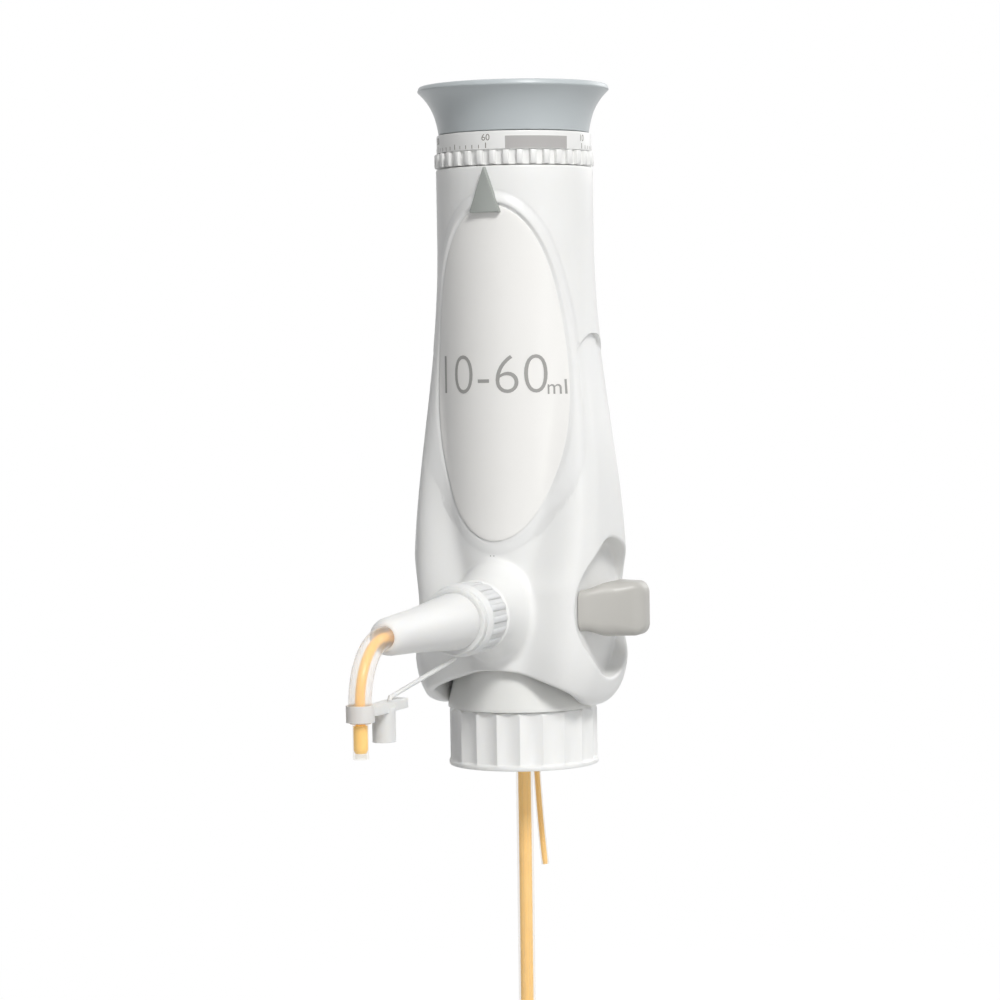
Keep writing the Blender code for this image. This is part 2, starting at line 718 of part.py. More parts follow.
def make_collar():
    """The screw collar: broad scallops above a smooth rim, a bore and a web on top."""
    bottom = -COLLAR_SKIRT
    hole = FLANGE_TUBE_RADIUS + SEAT_GAP
    dish = [math.sin(math.pi * i / 3) for i in range(3)]
    rim = COLLAR_RADIUS + COLLAR_RIM
    profile = [
        (COLLAR_RADIUS - SCALLOP_DEPTH, COLLAR_TOP, 0),
        (COLLAR_RADIUS, COLLAR_TOP - SCALLOP_DEPTH, SCALLOP_DEPTH),
        (COLLAR_RADIUS, bottom + 4 * COLLAR_RIM, SCALLOP_DEPTH),
        (rim, bottom + 3 * COLLAR_RIM, 0),
        (rim, bottom, 0),
        (COLLAR_BORE_RADIUS, bottom, 0),
        (COLLAR_BORE_RADIUS, COLLAR_TOP - COLLAR_WEB, 0),
        (hole, COLLAR_TOP - COLLAR_WEB, 0),
        (hole, COLLAR_TOP, 0),
    ]
    collar = ribbed_ring("collar", profile, COLLAR_SCALLOPS, dish)
    return finish(collar, plastic("collar_white", (0.84, 0.84, 0.82), 0.35))


def make_neck_gasket():
    gasket = turned("neck_gasket", [
        (FLANGE_RADIUS, GASKET_HEIGHT), (FLANGE_RADIUS, 0),
        (GASKET_INNER_RADIUS, 0), (GASKET_INNER_RADIUS, GASKET_HEIGHT)])
    return finish(gasket, plastic("gasket_white", (0.8, 0.8, 0.78), 0.6))


def make_retaining_flange():
    """Holds the collar on the valve block: a tube through the web and a flange below it."""
    flange = turned("retaining_flange", [
        (FLANGE_TUBE_RADIUS, COLLAR_TOP), (FLANGE_TUBE_RADIUS, FLANGE_TOP),
        (FLANGE_RADIUS, FLANGE_TOP), (FLANGE_RADIUS, FLANGE_BOTTOM),
        (NECK_RADIUS + SEAT_GAP, FLANGE_BOTTOM), (NECK_RADIUS + SEAT_GAP, COLLAR_TOP)])
    return finish(flange, plastic("flange_white", (0.8, 0.8, 0.78), 0.5))


def make_valve_block():
    """The block that holds both valves, the recirculation stem and the glass barrel."""
    cup_top = BLOCK_TOP + BARREL_CUP_DEPTH
    cup_radius = BARREL_RADIUS + SEAT_GAP
    shoulder = WAIST_HEIGHT + BLOCK_RADIUS - WAIST_RADIUS
    floor_radius = PISTON_RADIUS / 3
    valve_block = turned("valve_block", [
        (BLOCK_RADIUS, cup_top), (BLOCK_RADIUS, shoulder + SHOULDER_RISE),
        (WAIST_RADIUS, shoulder), (WAIST_RADIUS, WAIST_HEIGHT),
        (SKIRT_RADIUS, SKIRT_BOTTOM + MM), (SKIRT_RADIUS, SKIRT_BOTTOM),
        (NECK_RADIUS, SKIRT_BOTTOM), (NECK_RADIUS, FLANGE_BOTTOM), (0, FLANGE_BOTTOM),
        (0, BLOCK_TOP - floor_radius), (floor_radius, BLOCK_TOP), (cup_radius, BLOCK_TOP),
        (cup_radius, cup_top)])
    nozzle_line = (0, 0, NOZZLE_HEIGHT)
    return_top = (0, RETURN_OFFSET, NOZZLE_HEIGHT)
    vent_height = (SKIRT_BOTTOM + WAIST_HEIGHT) / 2
    vent_bend = (-RETURN_OFFSET, 0, vent_height)
    cut(valve_block,
        cylinder("filling_bore", FILLING_BODY_RADIUS + SEAT_GAP, (0, 0, -MM),
                 (0, 0, FILLING_TOP + SEAT_GAP), MEDIUM_SEGMENTS),
        cylinder("centre_channel", CHANNEL_RADIUS, (0, 0, FILLING_TOP), (0, 0, BLOCK_TOP)),
        cylinder("discharge_bore", DISCHARGE_STEM_RADIUS + SEAT_GAP,
                 (0, -DISCHARGE_STEM_START + SEAT_GAP, NOZZLE_HEIGHT),
                 (0, -2 * BLOCK_RADIUS, NOZZLE_HEIGHT), MEDIUM_SEGMENTS),
        cylinder("discharge_channel", CHANNEL_RADIUS * 0.8, nozzle_line,
                 (0, -BLOCK_RADIUS, NOZZLE_HEIGHT)),
        cylinder("stem_bore", STEM_RADIUS + SEAT_GAP, (STEM_START - SEAT_GAP, 0, NOZZLE_HEIGHT),
                 (2 * BLOCK_RADIUS, 0, NOZZLE_HEIGHT), MEDIUM_SEGMENTS),
        cylinder("stem_channel", SIDE_CHANNEL_RADIUS * 1.1, nozzle_line,
                 (STEM_START, 0, NOZZLE_HEIGHT), 12),
        cylinder("cross_channel", SIDE_CHANNEL_RADIUS, (STEM_PORT, 0, NOZZLE_HEIGHT),
                 return_top, 12),
        cylinder("return_channel", SIDE_CHANNEL_RADIUS * 0.9, (0, RETURN_OFFSET, FLANGE_BOTTOM),
                 return_top, 12),
        cylinder("return_socket", RETURN_TUBE_RADIUS + SEAT_GAP, (0, RETURN_OFFSET, -MM),
                 (0, RETURN_OFFSET, FLANGE_BOTTOM + RETURN_SOCKET_DEPTH), 16),
        cylinder("vent_down", VENT_RADIUS, (-RETURN_OFFSET, 0, -MM), vent_bend, 10),
        cylinder("vent_out", VENT_RADIUS * 0.9, vent_bend,
                 (-2 * SKIRT_RADIUS, 0, vent_height), 10))
    return finish(valve_block, plastic("block_white", (0.8, 0.8, 0.78), 0.45))


def make_filling_valve():
    """The inlet valve: a body screwed in from below with a barbed tail, and its ball."""
    chamber_radius = BALL_RADIUS + CHAMBER_CLEARANCE
    ball_bore_top = SEAT_CONE_TOP + 2 * BALL_RADIUS + BALL_LIFT
    head_top = FLANGE_BOTTOM - SEAT_GAP
    head_bottom = head_top - FILLING_HEAD_HEIGHT
    tail = head_bottom - BARB_LENGTH
    cone_bottom = SEAT_CONE_TOP - SEAT_CONE_HEIGHT
    body = turned("filling_valve_body", [
        (FILLING_BODY_RADIUS, FILLING_TOP), (FILLING_BODY_RADIUS, head_top),
        (FILLING_HEAD_RADIUS, head_top), (FILLING_HEAD_RADIUS, head_bottom),
        (BARB_RADIUS, head_bottom), (BARB_RADIUS, tail + MM), (BARB_RADIUS * 0.85, tail),
        (THROAT_RADIUS * 0.8, tail), (THROAT_RADIUS * 0.8, cone_bottom - MM),
        (THROAT_RADIUS, cone_bottom), (chamber_radius, SEAT_CONE_TOP),
        (chamber_radius, ball_bore_top), (CHANNEL_RADIUS, ball_bore_top),
        (CHANNEL_RADIUS, FILLING_TOP)], MEDIUM_SEGMENTS)
    finish(body, plastic("valve_body_plastic", (0.72, 0.74, 0.74), 0.4))

    slope = SEAT_CONE_HEIGHT / (chamber_radius - THROAT_RADIUS)
    apex = cone_bottom - THROAT_RADIUS * slope
    half_angle = math.atan2(1, slope)
    rest = apex + (BALL_RADIUS + SEAT_GAP) / math.sin(half_angle)
    ball = sphere("filling_valve_ball", BALL_RADIUS)
    ball.location = (0, 0, rest)
    finish(ball, plastic("ball_glass", (0.75, 0.8, 0.8), 0.1))


def sphere(name, radius):
    bm = bmesh.new()
    bmesh.ops.create_uvsphere(bm, u_segments=12, v_segments=7, radius=radius)
    return new_object(name, mesh_from_bmesh(name, bm))


def bend(start, corner, end, radius, steps=8):
    """Points of a path from start to end with a round bend at the corner."""
    start, corner, end = Vector(start), Vector(corner), Vector(end)
    inward = (start - corner).normalized()
    onward = (end - corner).normalized()
    centre = corner + (inward + onward) * radius
    points = [start]
    for i in range(steps + 1):
        turn = math.radians(90) * i / steps
        points.append(centre - onward * radius * math.cos(turn) - inward * radius * math.sin(turn))
    points.append(end)
    return points


def hanging(top, bottom, sway, steps=8):
    """Points of a tube that hangs from top and drifts sideways to its end."""
    points = []
    for i in range(steps + 1):
        share = i / steps
        x, y, _ = top
        points.append((x + sway[0] * share ** 2, y + sway[1] * share ** 2,
                       top[2] + (bottom - top[2]) * share))
    return points


def make_tubes_below():
    """The suction tube on its barb, and the thin return tube in its socket."""
    suction_top = FLANGE_BOTTOM - SEAT_GAP - FILLING_HEAD_HEIGHT - SEAT_GAP
    suction = pipe("suction_tube", hanging((0, 0, suction_top), SUCTION_TUBE_END,
                                           (SUCTION_TUBE_SWAY, 0)),
                   SUCTION_TUBE_RADIUS, SUCTION_TUBE_WALL)
    finish(suction, plastic("tube_clear", (0.9, 0.75, 0.45), 0.2, transmission=0.5))
    return_top = FLANGE_BOTTOM + RETURN_SOCKET_DEPTH - SEAT_GAP
    straight = [(0, RETURN_OFFSET, return_top)]
    free = hanging((0, RETURN_OFFSET, -MM), RETURN_TUBE_END, (RETURN_TUBE_SWAY, 0), 6)
    returning = pipe("recirculation_tube", straight + free, RETURN_TUBE_RADIUS,
                     RETURN_TUBE_WALL, resolution=1)
    finish(returning, plastic("tube_thin", (0.9, 0.75, 0.45), 0.2, transmission=0.5))


def make_barrel():
    """The glass measuring barrel, its flat seal and the ring that centres its top."""
    seal_bottom = BLOCK_TOP + SEAT_GAP
    seal = turned("barrel_seal", [
        (BARREL_RADIUS, seal_bottom + BARREL_SEAL_HEIGHT), (BARREL_RADIUS, seal_bottom),
        (PISTON_RADIUS, seal_bottom), (PISTON_RADIUS, seal_bottom + BARREL_SEAL_HEIGHT)],
        MEDIUM_SEGMENTS)
    finish(seal, plastic("seal_white", (0.85, 0.85, 0.83), 0.6))
    barrel = turned("glass_barrel", [
        (BARREL_RADIUS, BARREL_TOP), (BARREL_RADIUS, BARREL_BOTTOM),
        (BARREL_INNER_RADIUS, BARREL_BOTTOM), (BARREL_INNER_RADIUS, BARREL_TOP)])
    finish(barrel, plastic("barrel_glass", (0.9, 0.95, 0.95), 0.05, transmission=0.9))

    lip_bottom = BARREL_TOP - GUIDE_LIP
    under = BARREL_TOP + SEAT_GAP
    guide = turned("barrel_guide", [
        (BLOCK_RADIUS, GUIDE_TOP), (BLOCK_RADIUS, lip_bottom),
        (BARREL_RADIUS + SEAT_GAP, lip_bottom), (BARREL_RADIUS + SEAT_GAP, under),
        (0, under), (0, GUIDE_TOP)])
    cut(guide, flatted_rod("guide_hole", SEAT_GAP, under - GUIDE_HEIGHT,
                           GUIDE_TOP + GUIDE_HEIGHT))
    finish(guide, plastic("guide_white", (0.8, 0.8, 0.78), 0.5))


def flatted_rod(name, grow, low, high):
    """A round rod along Z with two flats, grown all round by a clearance."""
    half = ROD_FLAT + grow
    radius = ROD_RADIUS + grow
    corner = math.acos(half / radius)
    arc = 8
    section = []
    for side in (0, math.pi):
        for i in range(arc + 1):
            angle = side + corner + (math.pi - 2 * corner) * i / arc
            section.append((radius * math.cos(angle), radius * math.sin(angle)))
    return loft(name, [[(x, y, z) for x, y in section] for z in (low, high)])


def make_piston():
    """Piston head, its two lip seals, the rod with its flats and the screw on top."""
    seal_inner = PISTON_RADIUS - PISTON_SEAL_DEPTH
    groove_gap = SEAT_GAP
    land = (PISTON_HEIGHT - 2 * PISTON_SEAL_WIDTH - 4 * groove_gap) / 3
    groove = PISTON_SEAL_WIDTH + 2 * groove_gap
    socket_floor = PISTON_BOTTOM + PISTON_HEIGHT / 3
    rod_radius = ROD_RADIUS + SEAT_GAP
    profile = [(PISTON_RADIUS, PISTON_TOP)]
    lowers = []
    height = PISTON_TOP - land
    for _ in range(2):
        profile += [(PISTON_RADIUS, height), (seal_inner, height)]
        profile += [(seal_inner, height - groove), (PISTON_RADIUS, height - groove)]
        lowers.append(height - groove + groove_gap)
        height -= groove + land
    profile += [(PISTON_RADIUS, PISTON_BOTTOM), (0, PISTON_BOTTOM), (0, socket_floor),
                (rod_radius, socket_floor), (rod_radius, PISTON_TOP)]
    head = turned("piston_head", profile, MEDIUM_SEGMENTS)
    finish(head, plastic("piston_white", (0.82, 0.82, 0.8), 0.4))
    for number, low in enumerate(lowers, 1):
        seal = turned(f"piston_seal_{number}", [
            (PISTON_RADIUS, low + PISTON_SEAL_WIDTH), (PISTON_RADIUS, low),
            (seal_inner + SEAT_GAP, low), (seal_inner + SEAT_GAP, low + PISTON_SEAL_WIDTH)],
            MEDIUM_SEGMENTS)
        finish(seal, plastic(f"piston_seal_{number}_dark", (0.2, 0.2, 0.21), 0.6))

    piston_rod = flatted_rod("piston_rod", 0, socket_floor + SEAT_GAP, ROD_TOP)
    cut(piston_rod, cylinder("rod_thread", SCREW_RADIUS + SEAT_GAP,
                             (0, 0, PLATE_TOP - SCREW_LENGTH), (0, 0, PLATE_TOP), 12))
    finish(piston_rod, plastic("rod_white", (0.8, 0.8, 0.8), 0.4))
    head_bottom = PLATE_TOP + SEAT_GAP
    screw = turned("handle_screw", [
        (SCREW_HEAD_RADIUS, head_bottom + SCREW_HEAD_HEIGHT), (SCREW_HEAD_RADIUS, head_bottom),
        (SCREW_RADIUS, head_bottom), (SCREW_RADIUS, PLATE_TOP - SCREW_LENGTH + SEAT_GAP),
        (0, PLATE_TOP - SCREW_LENGTH + SEAT_GAP), (0, head_bottom + SCREW_HEAD_HEIGHT)], 16)
    finish(screw, plastic("screw_steel", (0.6, 0.6, 0.6), 0.3, metallic=1.0))


def make_lift_sleeve():
    """The sleeve that lifts with the handle; its catch meets the stop ring."""
    inner = SLEEVE_RADIUS - SLEEVE_WALL
    sleeve = turned("lift_sleeve", [
        (SLEEVE_RADIUS, ROD_TOP), (SLEEVE_RADIUS, CATCH_TOP), (CATCH_RADIUS, CATCH_TOP),
        (CATCH_RADIUS, CATCH_BOTTOM), (inner, CATCH_BOTTOM), (inner, ROD_TOP)],
        MEDIUM_SEGMENTS)
    slot_half = KEY_WIDTH / 2 + SEAT_GAP
    for side in (1, -1):
        cut(sleeve, block(f"key_slot_{side}", (-slot_half, 0, CATCH_TOP),
                          (slot_half, side * 1.5 * SLEEVE_RADIUS, STOP_RING_TOP + SEAT_GAP)))
    return finish(sleeve, plastic("sleeve_white", (0.8, 0.8, 0.78), 0.45))


def make_stop_ring():
    """Sets the stroke: lugs run in the dial's spiral grooves, keys in the sleeve's slots."""
    outer = THREAD_SLEEVE_INNER_RADIUS - SEAT_GAP
    inner = SLEEVE_RADIUS + SEAT_GAP
    key_inner = SLEEVE_RADIUS - 0.7 * SLEEVE_WALL
    ring = turned("stop_ring", [
        (outer, STOP_RING_TOP), (outer, STOP_RING_BOTTOM),
        (inner, STOP_RING_BOTTOM), (inner, STOP_RING_TOP)])
    middle = (inner + outer) / 2
    for side in (1, -1):
        lug = cylinder(f"lug_{side}", LUG_RADIUS, (side * middle, 0, LUG_HEIGHT),
                       (side * (outer + LUG_PROUD), 0, LUG_HEIGHT), 12)
        key = block(f"key_{side}", (-KEY_WIDTH / 2, side * key_inner, STOP_RING_BOTTOM + MM / 2),
                    (KEY_WIDTH / 2, side * middle, STOP_RING_TOP - MM / 2))
        join(ring, lug, key)
    return finish(ring, plastic("stop_ring_grey", (0.55, 0.56, 0.56), 0.45))


def spiral_groove(name, start_angle):
    """The cutter of one spiral groove: a bar along a helix, capped at both ends."""
    root = THREAD_SLEEVE_INNER_RADIUS - SEAT_GAP + LUG_PROUD + GROOVE_CLEARANCE
    inner = THREAD_SLEEVE_INNER_RADIUS - THREAD_SLEEVE_WALL
    slope = LEAD_PER_RADIAN / root
    half = LUG_RADIUS * math.hypot(1, slope) + GROOVE_CLEARANCE
    over = (THREAD_SLEEVE_TOP - LUG_HEIGHT + 3 * LUG_RADIUS) / LEAD_PER_RADIAN
    under = (LUG_RADIUS + GROOVE_CLEARANCE) / root
    first = -(DIAL_SWEEP + under)
    steps = 26
    rings = []
    for i in range(steps + 1):
        turn = first + (over - first) * i / steps
        angle = start_angle + turn
        height = LUG_HEIGHT + LEAD_PER_RADIAN * turn
        rings.append([(r * math.cos(angle), r * math.sin(angle), height + z)
                      for r, z in ((inner, -half), (root, -half), (root, half), (inner, half))])
    return loft(name, rings)


def make_dial():
    """The scale drum with its knurled ring, and the threaded sleeve fixed inside it."""
    bore = THREAD_SLEEVE_RADIUS + SEAT_GAP
    knurl_top = DIAL_BOTTOM + KNURL_HEIGHT
    dial = ribbed_ring("volume_dial", [
        (DRUM_RADIUS, DIAL_TOP, 0), (DRUM_RADIUS, knurl_top, 0),
        (KNURL_RADIUS, knurl_top, KNURL_PROUD * 0.8),
        (KNURL_RADIUS, DIAL_BOTTOM, KNURL_PROUD * 0.8),
        (bore, DIAL_BOTTOM, 0), (bore, DIAL_TOP, 0)], KNURL_TEETH, [0, 1])
    finish(dial, plastic("dial_white", (0.84, 0.84, 0.82), 0.35))
    sleeve = turned("dial_thread_sleeve", [
        (THREAD_SLEEVE_RADIUS, THREAD_SLEEVE_TOP), (THREAD_SLEEVE_RADIUS, THREAD_SLEEVE_BOTTOM),
        (THREAD_SLEEVE_INNER_RADIUS, THREAD_SLEEVE_BOTTOM),
        (THREAD_SLEEVE_INNER_RADIUS, THREAD_SLEEVE_TOP)])
    cut(sleeve, spiral_groove("groove_a", 0), spiral_groove("groove_b", math.pi))
    return finish(sleeve, plastic("thread_sleeve_white", (0.8, 0.8, 0.78), 0.45))


def make_handle():
    """The flared pump handle and the cover on its top."""
    flare = []
    steps = 5
    neck_to_rim = HANDLE_HEIGHT * 0.9
    for i in range(steps + 1):
        share = i / steps
        radius = HANDLE_FOOT_RADIUS + (HANDLE_RIM_RADIUS - HANDLE_FOOT_RADIUS) * (
            0.35 * share + 0.65 * share ** 3)
        flare.append((radius, HANDLE_BOTTOM + neck_to_rim * share))
    hub_outer = SLEEVE_RADIUS - SLEEVE_WALL - SEAT_GAP
    hub_inner = hub_outer - SLEEVE_WALL
    hub_bottom = HANDLE_BOTTOM + HANDLE_WALL
    screw_hole = SCREW_RADIUS + SEAT_GAP
    recess = COVER_RADIUS + SEAT_GAP
    inner_wall = [(radius - HANDLE_WALL, height) for radius, height in flare
                  if height < PLATE_BOTTOM - MM]
    profile = [
        (recess, HANDLE_TOP), (HANDLE_RIM_RADIUS - 1.2 * MM, HANDLE_TOP), *flare[::-1],
        *inner_wall, (inner_wall[-1][0] + MM / 2, PLATE_BOTTOM),
        (hub_outer, PLATE_BOTTOM), (hub_outer, hub_bottom), (hub_inner, hub_bottom),
        (hub_inner, PLATE_BOTTOM), (screw_hole, PLATE_BOTTOM), (screw_hole, PLATE_TOP),
        (recess, PLATE_TOP)]
    handle = turned("handle", profile)
    finish(handle, plastic("handle_grey", (0.38, 0.42, 0.43), 0.35))

    foot = PLATE_TOP + SEAT_GAP
    wall_inner = COVER_RADIUS - COVER_WALL
    ceiling = HANDLE_TOP - COVER_WALL
    cover = turned("handle_cover", [
        (0, HANDLE_TOP), (COVER_RADIUS - MM / 2, HANDLE_TOP), (COVER_RADIUS, HANDLE_TOP - MM / 2),
        (COVER_RADIUS, foot), (wall_inner, foot), (wall_inner, ceiling), (0, ceiling)])
    finish(cover, plastic("cover_grey", (0.4, 0.44, 0.45), 0.35))


def make_discharge_valve():
    """The outlet valve: a stem through the boss, its ball and spring."""
    body = turned("discharge_valve_body", [
        (UNION_THREAD_RADIUS, UNION_END), (UNION_THREAD_RADIUS, UNION_START),
        (DISCHARGE_STEM_RADIUS, UNION_START), (DISCHARGE_STEM_RADIUS, DISCHARGE_STEM_START),
        (THROAT_RADIUS, DISCHARGE_STEM_START), (THROAT_RADIUS, DISCHARGE_SEAT_START),
        (DISCHARGE_BORE_RADIUS, DISCHARGE_SEAT_START + DISCHARGE_SEAT_LENGTH),
        (DISCHARGE_BORE_RADIUS, UNION_END)], MEDIUM_SEGMENTS)
    forwards(body)
    finish(body, plastic("discharge_body_white", (0.8, 0.8, 0.78), 0.4))

    slope = DISCHARGE_SEAT_LENGTH / (DISCHARGE_BORE_RADIUS - THROAT_RADIUS)
    apex = DISCHARGE_SEAT_START - THROAT_RADIUS * slope
    rest = apex + (DISCHARGE_BALL_RADIUS + SEAT_GAP) / math.sin(math.atan2(1, slope))
    ball = sphere("discharge_valve_ball", DISCHARGE_BALL_RADIUS)
    ball.location = (0, -rest, NOZZLE_HEIGHT)
    finish(ball, plastic("discharge_ball_glass", (0.75, 0.8, 0.8), 0.1))

    start = rest + DISCHARGE_BALL_RADIUS + SPRING_WIRE + SEAT_GAP
    end = FLANGE_START - NOZZLE_TAIL - SPRING_WIRE - SEAT_GAP
    coil = DISCHARGE_BORE_RADIUS - SPRING_WIRE - SEAT_GAP
    turns = 12 * SPRING_COILS
    points = []
    for i in range(turns + 1):
        angle = math.tau * i / 12
        points.append((coil * math.cos(angle), -start - (end - start) * i / turns,
                       NOZZLE_HEIGHT + coil * math.sin(angle)))
    spring = rod("discharge_spring", points, SPRING_WIRE, resolution=0)
    finish(spring, plastic("spring_steel", (0.6, 0.6, 0.6), 0.3, metallic=1.0))


def make_nozzle():
    """Union nut, seal, conical nozzle, the elbow in its tip and the tube through it."""
    thread_bore = UNION_THREAD_RADIUS + SEAT_GAP
    lip_bore = CONE_BASE_RADIUS + SEAT_GAP
    rib = [0, 1, 1]
    lip_start = NUT_END - 2 * NUT_LIP
    nut = ribbed_ring("nozzle_nut", [
        (NUT_RADIUS - MM, NUT_END, 0), (NUT_RADIUS, lip_start, 0),
        (NUT_RADIUS, lip_start - MM / 2, NUT_RIB_DEPTH),
        (NUT_RADIUS, NUT_END - NUT_LENGTH + MM, NUT_RIB_DEPTH),
        (NUT_RADIUS - NUT_RIB_DEPTH, NUT_END - NUT_LENGTH, 0),
        (thread_bore, NUT_END - NUT_LENGTH, 0), (thread_bore, NUT_END - NUT_LIP, 0),
        (lip_bore, NUT_END - NUT_LIP, 0), (lip_bore, NUT_END, 0)], NUT_RIBS, rib)
    forwards(nut)
    finish(nut, plastic("nut_white", (0.84, 0.84, 0.82), 0.35))

    tail_outer = DISCHARGE_BORE_RADIUS - SEAT_GAP
    seal = turned("nozzle_seal", [
        (UNION_THREAD_RADIUS, SEAL_START + SEAL_THICKNESS), (UNION_THREAD_RADIUS, SEAL_START),
        (DISCHARGE_BORE_RADIUS, SEAL_START),
        (DISCHARGE_BORE_RADIUS, SEAL_START + SEAL_THICKNESS)], SMALL_SEGMENTS)
    forwards(seal)
    finish(seal, plastic("nozzle_seal_white", (0.85, 0.85, 0.83), 0.6))

    tube_bore = DISCHARGE_TUBE_RADIUS + SEAT_GAP
    socket_bore = ELBOW_RADIUS + SEAT_GAP
    socket = CONE_TIP - ELBOW_SOCKET
    body = turned("nozzle_body", [
        (CONE_TIP_RADIUS - MM, CONE_TIP), (CONE_TIP_RADIUS, CONE_TIP - MM),
        (CONE_MID_RADIUS, CONE_MID), (CONE_BASE_RADIUS, NUT_END),
        (CONE_BASE_RADIUS, FLANGE_END), (UNION_THREAD_RADIUS, FLANGE_END),
        (UNION_THREAD_RADIUS, FLANGE_START), (tail_outer, FLANGE_START),
        (tail_outer, FLANGE_START - NOZZLE_TAIL), (tube_bore - MM / 2, FLANGE_START - NOZZLE_TAIL),
        (tube_bore - MM / 2, FLANGE_END), (tube_bore, FLANGE_END + MM),
        (tube_bore, socket), (socket_bore, socket), (socket_bore, CONE_TIP)], MEDIUM_SEGMENTS)
    forwards(body)
    finish(body, plastic("nozzle_white", (0.84, 0.84, 0.82), 0.35))

    corner = (0, -SPOUT_PLACE, NOZZLE_HEIGHT)
    elbow = pipe("nozzle_elbow", bend((0, -socket - SEAT_GAP, NOZZLE_HEIGHT), corner,
                                      (0, -SPOUT_PLACE, NOZZLE_HEIGHT - ELBOW_DROP), ELBOW_BEND),
                 ELBOW_RADIUS, ELBOW_WALL)
    finish(elbow, plastic("elbow_milky", (0.85, 0.86, 0.84), 0.3, transmission=0.4))
    tube = pipe("discharge_tube", bend((0, -DISCHARGE_TUBE_START, NOZZLE_HEIGHT), corner,
                                       (0, -SPOUT_PLACE, NOZZLE_HEIGHT - DISCHARGE_TUBE_DROP),
                                       ELBOW_BEND),
                DISCHARGE_TUBE_RADIUS, DISCHARGE_TUBE_WALL)
    finish(tube, plastic("discharge_tube_clear", (0.9, 0.75, 0.45), 0.2, transmission=0.5))


def cone_radius(place):
    """Radius of the nozzle's cone at a distance in front of the main axis."""
    share = (place - NUT_END) / (CONE_MID - NUT_END)
    return CONE_BASE_RADIUS + (CONE_MID_RADIUS - CONE_BASE_RADIUS) * share


def make_cap():
    """The cap link on the discharge tube, its strap and the ring that carries the strap."""
    top = NOZZLE_HEIGHT - CAP_RING_TOP
    ring_inner = ELBOW_RADIUS + SEAT_GAP
    ring_outer = ring_inner + CAP_RING_WALL
    cap = turned("cap_link", [
        (ring_outer, top), (ring_outer, top - CAP_RING_HEIGHT),
        (ring_inner, top - CAP_RING_HEIGHT), (ring_inner, top)], SMALL_SEGMENTS)
    cap.location = (0, -SPOUT_PLACE, 0)
    middle = top - CAP_RING_HEIGHT / 2
    arm_top = middle + CAP_ARM_THICKNESS / 2
    arm_bottom = middle - CAP_ARM_THICKNESS / 2
    outline = [(CAP_ARM_HALF_WIDTH * math.cos(a), CAP_ARM_END + CAP_ARM_HALF_WIDTH
                - CAP_ARM_HALF_WIDTH * math.sin(a))
               for a in [math.pi * i / 8 for i in range(9)]]
    neck = SPOUT_PLACE - (ring_inner + CAP_RING_WALL / 2)
    waist = CAP_ARM_HALF_WIDTH * 0.6
    outline += [(-waist, neck), (waist, neck)]
    arm = loft("cap_arm", [[(x, -place, z) for x, place in outline]
                           for z in (arm_bottom, arm_top)])
    cup_bottom = NOZZLE_HEIGHT - CAP_CUP_BOTTOM
    cup = cylinder("cap_cup", CAP_CUP_RADIUS, (0, -CAP_CUP_PLACE, cup_bottom),
                   (0, -CAP_CUP_PLACE, middle))
    join(cap, arm, cup)
    cup_inside = cylinder("cap_cup_inside", CAP_CUP_RADIUS - CAP_CUP_WALL,
                          (0, -CAP_CUP_PLACE, cup_bottom - MM),
                          (0, -CAP_CUP_PLACE, arm_bottom), MEDIUM_SEGMENTS)
    cut(cap, cup_inside)
    finish(cap, plastic("cap_translucent", (0.8, 0.82, 0.8), 0.35, transmission=0.3))

    ring_bore = cone_radius(STRAP_RING_START) + SEAT_GAP
    ring_end = STRAP_RING_START + STRAP_RING_HEIGHT
    strap_ring = turned("strap_ring", [
        (ring_bore + STRAP_RING_WALL, ring_end), (ring_bore + STRAP_RING_WALL, STRAP_RING_START),
        (ring_bore, STRAP_RING_START), (ring_bore, ring_end)], SMALL_SEGMENTS)
    forwards(strap_ring)
    finish(strap_ring, plastic("strap_ring_translucent", (0.8, 0.82, 0.8), 0.35,
                               transmission=0.3))
    root = Vector((0, -(STRAP_RING_START + STRAP_RING_HEIGHT / 2),
                   NOZZLE_HEIGHT - ring_bore - STRAP_RING_WALL - SEAT_GAP - STRAP_RADIUS))
    foot = Vector((0, -STRAP_FOOT, arm_top + SEAT_GAP + STRAP_RADIUS))
    steps = 6
    strap = rod("cap_strap", [root.lerp(foot, i / steps) for i in range(steps + 1)],
                STRAP_RADIUS, resolution=1)
    finish(strap, plastic("strap_translucent", (0.8, 0.82, 0.8), 0.35, transmission=0.3))


